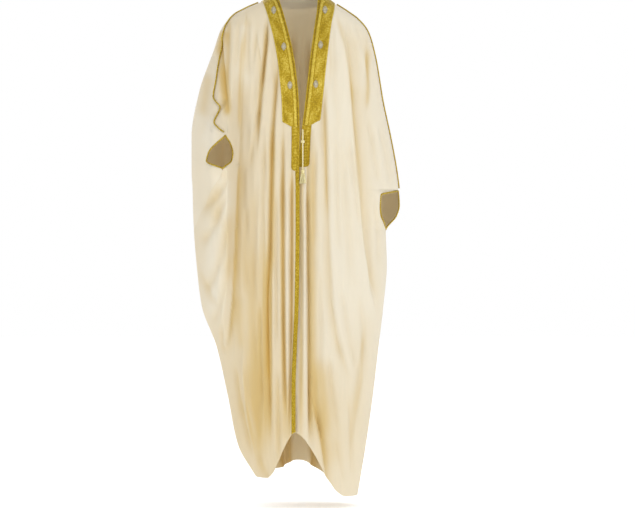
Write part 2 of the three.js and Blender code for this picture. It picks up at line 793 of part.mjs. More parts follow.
// Materials
const cloth = new THREE.MeshStandardMaterial({ color: 0xe8e0c4, roughness: 0.85, metalness: 0 });
const gold = new THREE.MeshStandardMaterial({ color: 0xb8a032, roughness: 0.45, metalness: 0.55 });
const silver = new THREE.MeshStandardMaterial({ color: 0xb9ae94, roughness: 0.4, metalness: 0.6 });

const bisht = new THREE.Group();

function addPiece(name, geometry, material) {
  const mesh = new THREE.Mesh(geometry, material);
  mesh.name = name;
  bisht.add(mesh);
}

// Panels
const grids = { [RIGHT]: frontGrid(RIGHT), [LEFT]: frontGrid(LEFT), back: backGrid() };
addPiece("front_right", layer(grids[RIGHT], -WALL, WALL), cloth);
addPiece("front_left", layer(grids[LEFT], -WALL, WALL), cloth);
addPiece("back", layer(grids.back, -WALL, WALL), cloth);

// Gold bands along the front edges and round the back of the neck
const neckRows = LEVELS.filter((level) => level <= NECK_BAND_LEVEL).length;
addPiece("neck_band_back", layer(grids.back.slice(0, neckRows), SEAM_GAP, BAND_THICKNESS), gold);
for (const [side, word] of [
  [RIGHT, "right"],
  [LEFT, "left"],
]) {
  const { width, corner } = WIDE_BAND;
  const { outerBottom, innerBottom } = WIDE_BAND[side];
  const slant = { fromEdge: NARROW_BAND[side].widthAtTop, bottom: innerBottom };
  const wideStrip = { top: WIDE_BAND.top, bottom: outerBottom, corner, widthAtTop: width, width };
  const wide = stripOutline(side, wideStrip, OUTLINE_STATIONS.wide, slant);
  const narrowStrip = { ...NARROW_BAND[side], top: innerBottom - SEAM_GAP, corner: NARROW_BAND.corner };
  const narrow = stripOutline(side, narrowStrip, OUTLINE_STATIONS.narrow);
  addPiece("front_band_" + word, cutFromFront(grids[side], SEAM_GAP, BAND_THICKNESS, wide), gold);
  addPiece("lower_band_" + word, cutFromFront(grids[side], SEAM_GAP, BAND_THICKNESS, narrow), gold);
  MOTIFS[side].forEach((centre, i) => {
    const from = BAND_THICKNESS + 2 * SEAM_GAP;
    const motif = cutFromFront(grids[side], from, MOTIF_THICKNESS, motifOutline(centre));
    addPiece("motif_" + word + "_" + (i + 1), motif, silver);
  });
  const seam = shoulderSeam(side);
  const rim = cuffRim(side);
  const seamLine = onTheFace(seam, PIPING_RADIUS + PIPING_LIFT);
  const rimLine = offTheRim(rim, PIPING_RADIUS + PIPING_LIFT);
  addPiece("shoulder_piping_" + word, roll(seam, seamLine, PIPING_RADIUS, PIPING_SIDES, false), gold);
  addPiece("cuff_piping_" + word, roll(rim, rimLine, PIPING_RADIUS, PIPING_SIDES, true), gold);
}
const edgingStrip = { ...EDGING, widthAtTop: EDGING.width };
const edging = stripOutline(RIGHT, edgingStrip, OUTLINE_STATIONS.edging);
addPiece("front_edging_right", cutFromFront(grids[RIGHT], SEAM_GAP, EDGING_THICKNESS, edging), gold);

// Tie cord, bead and tassel, hanging before the left lower band
const bandFace = (z) => {
  const level = -z;
  return clothPoint(LEFT, frontAngle(LEFT, CORD.x, level), level).y - SEAM_GAP - BAND_THICKNESS;
};
const hang = (z, out) => new THREE.Vector3(CORD.x, bandFace(z) - out, z);
const beadTop = BEAD.z + BEAD.height / 2;
const beadFoot = BEAD.z - BEAD.height / 2;
const beadPlace = hang(BEAD.z, BEAD.radius + BEAD.out);
const tasselPlace = hang(TASSEL.headTop, TASSEL_OUT);
const upper = [
  hang(CORD.top, SEAM_GAP + CORD.radius),
  new THREE.Vector3(CORD.x, beadPlace.y + CORD.sag, (CORD.top + beadTop) / 2),
  new THREE.Vector3(CORD.x, beadPlace.y, beadTop + SEAM_GAP),
];
const lower = [
  new THREE.Vector3(CORD.x, beadPlace.y, beadFoot - SEAM_GAP),
  new THREE.Vector3(CORD.x, (beadPlace.y + tasselPlace.y) / 2, (beadFoot + TASSEL.headTop) / 2),
  new THREE.Vector3(CORD.x, tasselPlace.y, TASSEL.headTop + SEAM_GAP),
];
addPiece("tie_cord_upper", cordLength(upper), gold);
addPiece("tie_cord_lower", cordLength(lower), gold);
const bead = new THREE.SphereGeometry(BEAD.radius, 12, 8).rotateX(Math.PI / 2);
bead.scale(1, 1, BEAD.height / 2 / BEAD.radius).translate(beadPlace.x, beadPlace.y, BEAD.z);
addPiece("tie_bead", bead, gold);
addPiece("tassel", tassel(tasselPlace), gold);

export default bisht;
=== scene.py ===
"""A bisht: a wide open-fronted cloak of cream crepe with gold bands, piping, motifs and a tassel.

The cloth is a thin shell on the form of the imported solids. The same named sizes give both: a ring
round the cloak at each level, with long folds, the lift of the forearm and fine creases. Sizes are in
millimetres and become metres as each mesh is made.
"""

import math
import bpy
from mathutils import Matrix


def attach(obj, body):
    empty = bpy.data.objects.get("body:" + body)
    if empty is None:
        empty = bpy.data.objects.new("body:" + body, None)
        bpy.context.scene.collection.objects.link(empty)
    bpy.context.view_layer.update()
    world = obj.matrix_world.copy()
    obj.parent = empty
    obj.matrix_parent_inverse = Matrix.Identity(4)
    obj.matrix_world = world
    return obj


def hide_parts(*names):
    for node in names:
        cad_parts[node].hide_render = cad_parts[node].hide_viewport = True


bl_info = {
    "name": "Bisht Maker",
    "version": (1, 0, 0),
    "blender": (4, 5, 0),
    "location": "3D View > Sidebar > Bisht",
    "description": "Builds the cloth, gold trim, motifs, tie and tassel of a bisht on its frame",
    "category": "Add Mesh",
}

import bmesh
import bpy
import numpy as np
from mathutils import Vector

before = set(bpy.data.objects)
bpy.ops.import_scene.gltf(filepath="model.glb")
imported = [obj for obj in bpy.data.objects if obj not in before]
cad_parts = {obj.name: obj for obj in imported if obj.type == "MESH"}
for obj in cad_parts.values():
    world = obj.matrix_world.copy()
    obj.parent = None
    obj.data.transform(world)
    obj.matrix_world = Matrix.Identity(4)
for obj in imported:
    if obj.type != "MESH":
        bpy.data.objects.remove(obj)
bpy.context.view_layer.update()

MM = 0.001
RIGHT = -1
LEFT = 1
SIDE_NAMES = {RIGHT: "right", LEFT: "left"}

# Cross sections of the cloak, a ring at each level: the x of the front edges, the reach and height of
# each side, the height of the middle of the back, and the depth before and behind the shoulder line.
SECTION_COLUMNS = ("level", "edgeR", "edgeL", "reachR", "sideR", "reachL", "sideL", "backZ", "front", "back")
SECTIONS = [
    (0, -60, 60, 68, 8, 68, 8, 12, 48, 76),
    (25, -53, 58, 109, -21, 106, -24, -36, 72, 94),
    (50, -45, 56, 150, -39, 143, -48, -66, 90, 106),
    (105, -30, 48, 192, -62, 178, -74, -114, 116, 124),
    (165, -16, 40, 226, -98, 206, -110, -168, 136, 138),
    (240, -4, 31, 252, -170, 228, -186, -245, 150, 149),
    (330, 4, 21, 294, -290, 250, -316, -333, 158, 158),
    (425, 6, 10, 316, -418, 273, -424, -425, 164, 166),
    (523, 5, 3, 316, -523, 291, -523, -523, 168, 172),
    (579, 6, 1, 313, -579, 298, -579, -579, 170, 175),
    (625, 6, 1, 312, -625, 301, -625, -625, 171, 177),
    (655, 6, 1, 311, -655, 293, -655, -655, 172, 178),
    (700, 6, 1, 309, -700, 261, -700, -700, 172, 180),
    (800, 5, 0, 301, -800, 264, -800, -800, 173, 183),
    (920, 3, -2, 286, -921, 254, -920, -925, 174, 187),
    (1040, -2, -7, 242, -1042, 238, -1054, -1065, 174, 191),
    (1160, -6, -11, 208, -1190, 222, -1190, -1212, 174, 194),
    (1240, -6, -11, 178, -1335, 200, -1345, -1318, 174, 196),
    (1292, -6, -11, 126, -1427, 177, -1482, -1390, 174, 198),
]
ROUNDNESS = 0.85
HEM_LEVEL = 1292
HEM_FALL_FROM = 1100
HEM_FALL_SHARE = {RIGHT: 0.72, LEFT: 0.82}

# Where the right shoulder seam crosses each level: it comes forward down the arm to the cuff.
RIGHT_SEAM = [
    (25, -109), (50, -148), (105, -189), (165, -215), (240, -228), (300, -238), (342, -247), (364, -230),
    (398, -243), (414, -226), (425, -209), (475, -212), (523, -218), (600, -262), (700, -309),
]

# The cloth's grid has closer rows where that seam waves and beside the ends of the cuffs, but none
# closer than the least distance
WAVY_SEAM = {"from": 336, "to": 432, "spacing": 3.0}
CUFF_ROWS = 2.5
LEAST_ROW = 1.2

# The cuffs, open in the seams: level, x of the front lip and x of the rear lip
CUFFS = {
    RIGHT: [(425, -209, -209), (450, -194, -240), (475, -188, -262), (500, -192, -268), (523, -218, -218)],
    LEFT: [
        (579, 298, 298), (593, 244, 298), (625, 241, 300), (655, 244, 292), (676, 252, 275), (700, 261, 261),
    ],
}

# The right forearm's lift of the cloth, and the steep wall that the cloth makes beside it
FOREARM_OUT = [
    (50, 0), (160, 12), (300, 55), (400, 105), (480, 125), (600, 96), (850, 48), (1050, 20), (1250, 0),
]
FOREARM_WALL = [(60, -150), (250, -163), (500, -174), (800, -180), (1050, -208)]
FOREARM_WALL_WIDTH = 34
FOREARM_SIDE_SHARE = 0.8

# Long folds: line as pairs of level and x, depth, half width towards the front edge or the middle of
# the back, and half width towards the side. A negative depth is a ridge.
FOLDS = {
    "frontR": [
        ([(520, -17), (900, -18), (1290, -24)], 6, 4, 6),
        ([(400, -42), (850, -41), (1250, -35)], 8, 4, 7),
        ([(205, -55), (430, -72), (800, -80), (1250, -80)], 8, 5, 8),
        ([(90, -90), (160, -92), (280, -104), (460, -121)], 10, 4, 6),
        ([(120, -116), (260, -134)], 5, 4, 8),
        ([(560, -128), (900, -136), (1290, -110)], 5, 14, 16),
        ([(92, -206), (300, -209), (383, -194)], 8, 9, 7),
        ([(560, -236), (800, -243), (1010, -226)], 3, 12, 22),
        ([(1060, -163), (1190, -146), (1270, -120)], -8, 7, 10),
    ],
    "frontL": [
        ([(560, 27), (900, 29), (1290, 34)], 12, 4, 8),
        ([(300, 79), (550, 86), (880, 97), (1000, 117), (1120, 152)], 6, 16, 6),
        ([(100, 116), (220, 150), (550, 181), (850, 218), (960, 238)], 6, 5, 16),
        ([(150, 211), (345, 202)], 4, 7, 10),
        ([(120, 88), (420, 122)], 4, 8, 12),
        ([(420, 128), (860, 158)], 4, 14, 15),
        ([(1180, 38), (1250, 66), (1330, 98)], 9, 6, 13),
        ([(960, 208), (1250, 160)], 6, 10, 16),
    ],
    "backR": [
        ([(90, -14), (700, -24), (1380, -30)], 24, 10, 19),
        ([(170, -62), (700, -82), (1400, -62)], 28, 18, 10),
        ([(80, -104), (600, -132), (1200, -104)], 19, 9, 17),
        ([(150, -160), (600, -192), (1240, -140)], 30, 11, 22),
        ([(380, -236), (700, -248), (1100, -196)], 20, 13, 22),
    ],
    "backL": [
        ([(130, 34), (700, 40), (1420, 46)], 26, 10, 19),
        ([(90, 84), (700, 98), (1300, 92)], 20, 15, 10),
        ([(140, 134), (600, 158), (1440, 134)], 29, 11, 21),
        ([(260, 194), (650, 222), (1150, 190)], 18, 10, 19),
    ],
}

# Laps, where one fold lies over the next: line as pairs of level and x, depth, reach of the hollow
# beside the line, and which way the hollow lies: -1 towards the front edge or the middle of the back,
# and 1 towards the side.
LAPS = {
    "frontR": [
        ([(60, -154), (163, -157), (401, -169), (500, -175)], 2.6, 9, -1),
        ([(470, -173), (549, -178), (876, -193), (1048, -211)], 5.4, 24, -1),
        ([(205, -54), (430, -71), (549, -76), (787, -79), (906, -86), (1120, -84)], 3.4, 10, 1),
        ([(740, -79), (906, -86), (1120, -82), (1240, -80)], 4, 62, 1),
        ([(400, -42), (850, -41), (1180, -35)], 2.4, 7, 1),
        ([(520, -15), (900, -16), (1290, -22)], 2.5, 8, 1),
        ([(150, -122), (240, -108), (420, -114)], 2.5, 14, 1),
        ([(620, -100), (900, -104), (1260, -98)], 1.5, 20, -1),
        ([(150, -228), (303, -213), (383, -198)], 6, 18, 1),
        ([(1060, -163), (1190, -146), (1270, -120)], 3, 20, -1),
    ],
    "frontL": [
        ([(300, 24), (787, 27), (906, 30), (1143, 30), (1280, 33)], 4.5, 26, 1),
        ([(312, 80), (549, 88), (906, 104), (995, 116), (1060, 134), (1114, 151)], 2, 26, -1),
        ([(104, 116), (163, 140), (223, 151), (371, 163), (549, 181), (728, 193), (906, 235)], 2, 24, 1),
        ([(60, 92), (200, 100), (330, 96)], 1.5, 14, -1),
        ([(160, 205), (300, 214), (345, 204)], 2.5, 14, -1),
        ([(1180, 38), (1250, 66), (1330, 98)], 4, 22, 1),
        ([(960, 206), (1110, 196), (1250, 160)], 2, 22, -1),
    ],
    "backR": [
        ([(90, -12), (700, -22), (1380, -28)], 3, 24, 1),
        ([(170, -64), (700, -84), (1400, -64)], 4, 26, -1),
        ([(80, -104), (600, -132), (1200, -104)], 3, 26, 1),
        ([(150, -160), (600, -192), (1240, -140)], 4, 26, 1),
    ],
    "backL": [
        ([(130, 32), (700, 38), (1420, 44)], 3, 26, 1),
        ([(90, 86), (700, 100), (1300, 94)], 3, 24, -1),
        ([(140, 134), (600, 158), (1440, 134)], 4, 26, 1),
    ],
}

# Painted shade, warm tan, where the cloth lies double or away from the light: line as pairs of x and
# z, strength and half width. A negative strength is painted light, a pale place.
PAINTED_LIGHT_AND_SHADE = {
    "frontR": [
        ([(-192, -620), (-196, -740), (-200, -860)], 0.12, 14),
        ([(-176, -880), (-172, -970), (-166, -1060)], 0.12, 12),
        ([(-157, -100), (-169, -260), (-171, -430)], 0.30, 6),
        ([(-74, -380), (-74, -620), (-78, -860)], 0.34, 8),
        ([(-84, -800), (-86, -980), (-88, -1160)], 0.26, 9),
        ([(-45, -500), (-45, -800), (-38, -1240)], 0.30, 7),
        ([(-15, -480), (-15, -760), (-18, -1060)], 0.30, 6),
        ([(-93, -90), (-97, -200), (-106, -300)], 0.16, 7),
        ([(-226, -190), (-214, -300), (-202, -366)], 0.34, 11),
        ([(-262, -230), (-272, -300), (-282, -372)], 0.24, 18),
        ([(-274, -400), (-258, -420), (-236, -440)], -0.12, 20),
        ([(-246, -640), (-246, -800), (-238, -1000)], -0.26, 26),
        ([(-214, -540), (-216, -600), (-218, -680)], -0.16, 22),
        ([(-216, -106), (-224, -140), (-240, -190)], 0.30, 12),
        ([(-150, -90), (-152, -160), (-156, -300)], -0.12, 30),
        ([(-150, -1000), (-130, -1180), (-110, -1380)], 0.04, 30),
        ([(-30, -1120), (-34, -1220), (-40, -1320)], 0.08, 22),
    ],
    "frontL": [
        ([(9, -360), (11, -780), (8, -1400)], 0.42, 8),
        ([(44, -400), (45, -800), (50, -1330)], 0.27, 12),
        ([(108, -50), (145, -184), (162, -340)], 0.20, 6),
        ([(156, -250), (168, -400), (184, -620)], 0.16, 8),
        ([(176, -110), (174, -210), (178, -330)], 0.07, 14),
        ([(186, -260), (196, -440), (208, -700)], 0.09, 26),
        ([(212, -150), (209, -250), (202, -350)], 0.26, 6),
        ([(79, -260), (83, -420), (86, -680)], 0.22, 6),
        ([(68, -1060), (74, -1180), (84, -1320)], 0.16, 16),
        ([(70, -1080), (80, -1240), (104, -1420)], 0.16, 40),
    ],
    "backR": [],
    "backL": [],
}

# Painted shade: how much each part's folds, laps and creases take, how much lies evenly over each
# whole panel, and how much more the cloth takes towards the hem
FOLD_SHADE = {"frontR": 1 / 34, "frontL": 1 / 60, "backR": 1 / 85, "backL": 1 / 85}
LAP_SHADE = 1 / 12
CREASE_SHADE = 0.7
PANEL_SHADE = {"front_right": 0.16, "front_left": 0.0, "back": 0.08}
HEM_SHADE = 0.12
HEM_SHADE_FROM = -850
HEM_SHADE_FULL = -1300

# Grid columns follow the long folds: which rows of FOLDS, in order across, and how many columns lie
# before the first of them, between each two and after the last. Near the neck the columns are even.
COLUMNS = {
    "frontR": ([0, 1, 2, 5], [10, 16, 24, 28, 62]),
    "frontL": ([0, 1, 2], [14, 32, 36, 52]),
    "backR": ([0, 1, 2, 3, 4], [11, 23, 21, 23, 21, 28]),
    "backL": ([0, 1, 2, 3], [16, 21, 23, 23, 29]),
}
EVEN_COLUMNS = (40, 200)
# Folds fade out beyond their ends, near the side as a share of the way across, and near the neck
FOLD_END_FADE = 90
SIDE_FADE = 0.88
NECK_FADE = (20, 70)
LEAST_COLUMN = 0.35
TURNED_EDGE = {"depth": 8, "width": 26, "from": 400, "full": 500}

# Fine creases: line as pairs of x and z, depth and half width. A negative depth is a raised
# crease. Each is drawn in short stretches, and is wider down the cloth than across it.
CREASE_STEPS = 12
CREASE_SQUASH = 0.55
CREASES = {
    "frontR": [
        ([(-70, -110), (-72, -190), (-66, -300)], 3.5, 6),
        ([(-90, -70), (-96, -170), (-107, -290)], 6, 6),
        ([(-142, -70), (-148, -160), (-146, -260)], 5, 7),
        ([(-176, -70), (-180, -150), (-184, -230)], 4, 7),
        ([(-112, -330), (-128, -420), (-142, -520)], 5, 7),
        ([(-98, -430), (-104, -620), (-106, -820)], 6, 7),
        ([(-62, -560), (-64, -800), (-62, -1060)], 6, 6),
        ([(-30, -560), (-31, -900), (-28, -1240)], -4, 5),
        ([(-112, -900), (-112, -1050), (-104, -1230)], 6, 7),
        ([(-150, -620), (-156, -760), (-152, -900)], 5, 8),
        ([(-206, -300), (-232, -350), (-250, -366)], 7, 6),
        ([(-196, -372), (-214, -340), (-238, -318)], 3, 7),
        ([(-200, -540), (-240, -600), (-286, -640)], 8, 9),
        ([(-206, -580), (-246, -680), (-290, -740)], 8, 10),
        ([(-200, -640), (-236, -800), (-282, -880)], 8, 11),
        ([(-202, -760), (-224, -890), (-262, -980)], 7, 10),
        ([(-294, -804), (-262, -890), (-240, -905)], 6, 7),
        ([(-224, -968), (-223, -1040), (-210, -1036)], 5, 6),
        ([(-160, -1040), (-148, -1180), (-116, -1330)], -5, 5),
        ([(-186, -1090), (-166, -1230), (-128, -1370)], 6, 7),
        ([(-120, -1356), (-104, -1400), (-84, -1424)], 5, 7),
        ([(-60, -1100), (-58, -1240), (-56, -1390)], 5, 6),
    ],
    "frontL": [
        ([(94, -60), (106, -150), (108, -250)], 4, 7),
        ([(130, -66), (168, -150), (186, -260)], 4, 8),
        ([(164, -80), (200, -170), (222, -300)], 5, 8),
        ([(190, -90), (226, -200), (246, -350)], 4, 8),
        ([(72, -300), (74, -380), (70, -470)], 4, 6),
        ([(52, -430), (50, -600), (48, -760)], 6, 7),
        ([(112, -420), (116, -600), (122, -780)], 6, 8),
        ([(148, -420), (166, -560), (186, -700)], 5, 8),
        ([(206, -360), (226, -470), (240, -570)], 6, 8),
        ([(238, -380), (262, -480), (276, -566)], 5, 8),
        ([(224, -600), (238, -700), (240, -820)], 6, 8),
        ([(204, -620), (214, -760), (226, -900)], 5, 8),
        ([(66, -800), (68, -960), (64, -1140)], 6, 7),
        ([(126, -860), (150, -1000), (176, -1120)], 6, 8),
        ([(180, -880), (196, -1010), (204, -1180)], 5, 8),
        ([(92, -1060), (104, -1180), (128, -1330)], 7, 8),
        ([(48, -1130), (60, -1240), (84, -1340)], 5, 7),
        ([(150, -1180), (160, -1300), (160, -1430)], 6, 8),
        ([(110, -1300), (126, -1380), (138, -1440)], 6, 7),
        ([(18, -640), (19, -900), (16, -1200)], -3.5, 4),
    ],
    "backR": [
        ([(-40, -120), (-46, -380), (-50, -640)], 7, 9),
        ([(-84, -90), (-108, -300), (-110, -560)], 6, 9),
        ([(-140, -120), (-160, -360), (-162, -620)], 8, 10),
        ([(-200, -160), (-220, -380), (-222, -600)], 7, 10),
        ([(-262, -330), (-276, -520), (-270, -720)], 7, 10),
        ([(-50, -680), (-54, -980), (-48, -1300)], 8, 10),
        ([(-108, -640), (-108, -900), (-94, -1180)], 8, 10),
        ([(-168, -660), (-160, -900), (-132, -1180)], 8, 10),
        ([(-214, -640), (-204, -860), (-176, -1080)], 7, 10),
        ([(-258, -640), (-248, -860), (-214, -1040)], 7, 10),
        ([(-8, -600), (-6, -900), (-8, -1250)], -6, 8),
    ],
    "backL": [
        ([(10, -110), (8, -420), (10, -700)], 7, 9),
        ([(60, -110), (68, -380), (70, -680)], 7, 9),
        ([(112, -100), (126, -320), (130, -560)], 7, 9),
        ([(164, -140), (186, -340), (192, -560)], 7, 10),
        ([(224, -320), (248, -460), (262, -560)], 6, 9),
        ([(66, -740), (70, -1000), (68, -1330)], 8, 10),
        ([(120, -640), (126, -900), (114, -1200)], 8, 10),
        ([(180, -620), (184, -860), (172, -1120)], 8, 10),
        ([(232, -700), (226, -880), (208, -1080)], 6, 9),
        ([(160, -1060), (158, -1220), (152, -1400)], 7, 10),
    ],
}

# Slow unevenness of hanging cloth: height, the lengths of its waves across and down, and where they
# start; and how far the waves bend sideways
RIPPLES = [(1.5, 61, 530, 0.4), (1.1, 37, 410, 2.1), (0.8, 23, 290, 4.4)]
RIPPLE_BEND = 14

# Trim sizes
CLOTH_THICKNESS = 1.0
SHARP_ANGLE = 50
SEAM_GAP = 0.3
TRIM_THICKNESS = 1.1
# The wide band's lower end falls from its outer corner in to the lower band. Levels are down the edge.
WIDE_BAND = {"width": 51, "corner": 7}
WIDE_BAND_ENDS = {RIGHT: {"outer": 386, "inner": 397}, LEFT: {"outer": 380, "inner": 391}}
LOWER_BAND = {
    RIGHT: {"width_at_top": 24, "width": 24, "bottom": 526, "corner": 12},
    LEFT: {"width_at_top": 27, "width": 31, "bottom": 514, "corner": 12},
}
EDGING_WIDTH = 12
EDGING_THICKNESS = 0.7

# Lines across the bands, each as its distance from an edge and half its width, and the lengths in which
# a rope turns and a row repeats. The wide band has a turned rim in painted shade, a rope, a border line,
# a field of lattice with flowers, an outer line of painted shadow and a scalloped edge.
# Painted shade: the turned rim is darker
TURNED_RIM_SHADE = (3.6, 1.9)
BAND_ROPE = (9.4, 3.6)
BORDER_LINE = (14.6, 1.2)
# Painted shadow: the outer line inside the scalloped edge is darker
OUTER_EDGE_SHADOW = (5.8, 1.1)
SCALLOPED_EDGE = (2.4, 1.9)
ROPE_TURN = 3.6
SCALLOP_LENGTH = 4.4
LATTICE_PITCH = 11.5
LOWER_ROPE = (2.4, 1.6)
LOWER_ROPE_TURN = 3.8
LEAF_LENGTH = 9
EDGING_CORD = (2, 1.3)
ZIGZAG_PITCH = 8
ZIGZAG_REACH = 2.2

NECK_BAND_LEVEL = 25
NECK_BAND_HALF = 150
# Below a slanted end the lower band goes on, so no edge is near there
FAR_BELOW = 99
# Width beside a front edge that the bands keep flat: the least, and the levels between which it grows
FLAT_EDGE = {"least": 6, "from": 443, "full": 363}
MOTIF_PLACES = {RIGHT: [(-71, -51), (-41, -160), (-23, -274)], LEFT: [(80, -50), (67, -155), (53, -271)]}
MOTIF_HALF = (7.5, 12.5)
MOTIF_LIFT = 1.0
MOTIF_SKIRT = -0.6
# Insets from the motif's rim to its middle, as shares of its half width, and the rise of each in mm
MOTIF_STEPS = ((0.07, 0.35), (0.2, 0.3), (0.2, -0.25), (0.2, 0.4), (0.14, 0.3))
PIPING_LIFT = 0.5
PIPING_STEP = 1.5
PIPING_SIDES = 10
LEAST_CORNER = 0.4

# Tie cord, bead and tassel
CORD_X = 15
CORD_RADIUS = 2.0
CORD_TOP = -404
CORD_SAG = 1.5
CORD_TURN = 9
CORD_SIDES = 16
CORD_STEP = 0.8
STRAND = {"radius": 0.42, "end_radius": 0.3, "steps": 6, "sides": 3}
GOLDEN_ANGLE = math.pi * (3 - math.sqrt(5))
BEAD = {"z": -440, "radius": 5.8, "height": 11, "out": 1, "tone": 0.42}
TASSEL = {"top": -521, "head_radius": 5, "head_height": 12, "end": -563, "half_width": 11, "half_depth": 7}
TASSEL_OUT = 11
CAD_BAND_THICKNESS = 1.5


class Curve:
    """A smooth curve through the rows of a table, with no overshoot between them."""

    def __init__(self, places, values):
        self.x = np.array(places, float)
        self.y = np.array(values, float)
        step = np.diff(self.x)
        slope = np.diff(self.y) / step
        tangent = np.zeros(len(self.x))
        tangent[0] = slope[0]
        tangent[-1] = slope[-1]
        for k in range(1, len(slope)):
            before, after = slope[k - 1], slope[k]
            if before * after > 0:
                tangent[k] = 2 * before * after / (before + after)
        self.tangent = tangent

    def __call__(self, at):
        at = np.clip(at, self.x[0], self.x[-1])
        i = np.clip(np.searchsorted(self.x, at, side="right") - 1, 0, len(self.x) - 2)
        span = self.x[i + 1] - self.x[i]
        u = (at - self.x[i]) / span
        return (
            self.y[i] * (1 + 2 * u) * (1 - u) ** 2
            + self.y[i + 1] * u * u * (3 - 2 * u)
            + self.tangent[i] * span * u * (1 - u) ** 2
            - self.tangent[i + 1] * span * u * u * (1 - u)
        )


def unit(vectors):
    """Vectors at length 1."""
    return vectors / np.maximum(np.linalg.norm(vectors, axis=-1, keepdims=True), 1e-9)


def square_to(vectors, axis):
    """Vectors without the share that lies along an axis of length 1."""
    return vectors - axis * (vectors * axis).sum(axis=-1, keepdims=True)


def smooth_step(start, end, value):
    """0 before the start, 1 past the end and smooth between them."""
    k = np.clip((value - start) / (end - start), 0, 1)
    return k * k * (3 - 2 * k)


LEVELS, *SECTION_VALUES = zip(*SECTIONS)
SECTION_CURVES = {name: Curve(LEVELS, row) for name, row in zip(SECTION_COLUMNS[1:], SECTION_VALUES)}
SEAM_CURVE = Curve(*zip(*RIGHT_SEAM))
FOREARM_OUT_CURVE = Curve(*zip(*FOREARM_OUT))
FOREARM_WALL_CURVE = Curve(*zip(*FOREARM_WALL))


def letter(side):
    return "R" if side == RIGHT else "L"


def edge_x(side, level):
    return SECTION_CURVES["edge" + letter(side)](level)


def tip_x(side, level):
    return side * SECTION_CURVES["reach" + letter(side)](level)


def ring_point(side, angle, level):
    """x, y and z of the plain ring, and the share of the way across to the side."""
    edge = edge_x(side, level)
    tip = tip_x(side, level)
    side_z = SECTION_CURVES["side" + letter(side)](level)
    across = np.abs(np.sin(angle)) ** ROUNDNESS
    along = np.abs(np.cos(angle)) ** ROUNDNESS
    fall = 1 - (1 - HEM_FALL_SHARE[side]) * smooth_step(HEM_FALL_FROM, HEM_LEVEL, level)
    front_z = -level + (side_z + level) * smooth_step(0, fall, across)
    back_mid_z = SECTION_CURVES["backZ"](level)
    back_z = back_mid_z + (side_z - back_mid_z) * smooth_step(0, 1, across)
    is_front = angle <= math.pi / 2
    x = np.where(is_front, edge + (tip - edge) * across, tip * across)
    depth = np.where(is_front, -SECTION_CURVES["front"](level), SECTION_CURVES["back"](level))
    return x, depth * along, np.where(is_front, front_z, back_z), across


def front_angle(side, x, level):
    """The angle in the front half of a ring at which it passes x."""
    edge = edge_x(side, level)
    share = np.clip((x - edge) / (tip_x(side, level) - edge), 0, 1)
    return np.arcsin(share ** (1 / ROUNDNESS))


def back_angle(side, x, level):
    """The angle in the rear half of a ring at which it passes x."""
    share = np.clip(np.abs(x / tip_x(side, level)), 0, 1)
    return math.pi - np.arcsin(share ** (1 / ROUNDNESS))


def fold_line(line, level):
    """x of a fold's line at each level, and a share that fades out beyond its ends."""
    top, bottom = line[0][0], line[-1][0]
    ends = smooth_step(top - FOLD_END_FADE / 3, top + FOLD_END_FADE, level)
    ends = ends * smooth_step(bottom + FOLD_END_FADE / 3, bottom - FOLD_END_FADE, level)
    return Curve(*zip(*line))(level), ends


def line_depth(line, depth, near, far, x, level, side):
    """Depth of one long fold at places on the cloth."""
    middle, ends = fold_line(line, level)
    away = (x - middle) * side
    width = np.where(away < 0, near, far)
    return depth * ends * np.exp(-((away / width) ** 2))


def lap_depth(line, depth, reach, way, x, level, side):
    """Depth beside the line where one fold lies over the next, and the shade in that hollow."""
    middle, ends = fold_line(line, level)
    away = (x - middle) * side * way
    wall = smooth_step(-1.6, 2.6, away)
    hollow = np.exp(-((np.maximum(away, 0) / reach) ** 1.4))
    lip = np.exp(-((np.minimum(away, 0) / (reach * 0.5)) ** 2))
    shade = wall * (0.55 * np.exp(-(np.maximum(away, 0) / (reach * 0.45))) + 0.45 * hollow)
    return depth * ends * (wall * hollow - 0.25 * (1 - wall) * lip), depth * ends * shade


def crease_depth(points, depth, width, x, z):
    """Depth of one fine crease: a soft trough along a curved line through three places."""
    squash = np.array([1, CREASE_SQUASH])
    a, b, c = (np.array(p, float) * squash for p in points)
    z = z * CREASE_SQUASH
    t = np.linspace(0, 1, CREASE_STEPS + 1)[:, None]
    places = a * (1 - t) * (1 - 2 * t) + b * 4 * t * (1 - t) + c * t * (2 * t - 1)
    best = np.full(np.shape(x), np.inf)
    share = np.zeros(np.shape(x))
    for k in range(CREASE_STEPS):
        start, way = places[k], places[k + 1] - places[k]
        along = np.clip(((x - start[0]) * way[0] + (z - start[1]) * way[1]) / (way @ way), 0, 1)
        far = (x - start[0] - way[0] * along) ** 2 + (z - start[1] - way[1] * along) ** 2
        nearer = far < best
        best = np.where(nearer, far, best)
        share = np.where(nearer, (k + along) / CREASE_STEPS, share)
    ends = smooth_step(0, 0.22, share + 0.02) * smooth_step(1, 0.78, share - 0.02)
    return depth * ends * np.exp(-best / width**2)


def flat_width(z):
    """Width beside a front edge that a band keeps flat."""
    least = FLAT_EDGE["least"]
    return least + (WIDE_BAND["width"] - least) * smooth_step(-FLAT_EDGE["from"], -FLAT_EDGE["full"], z)


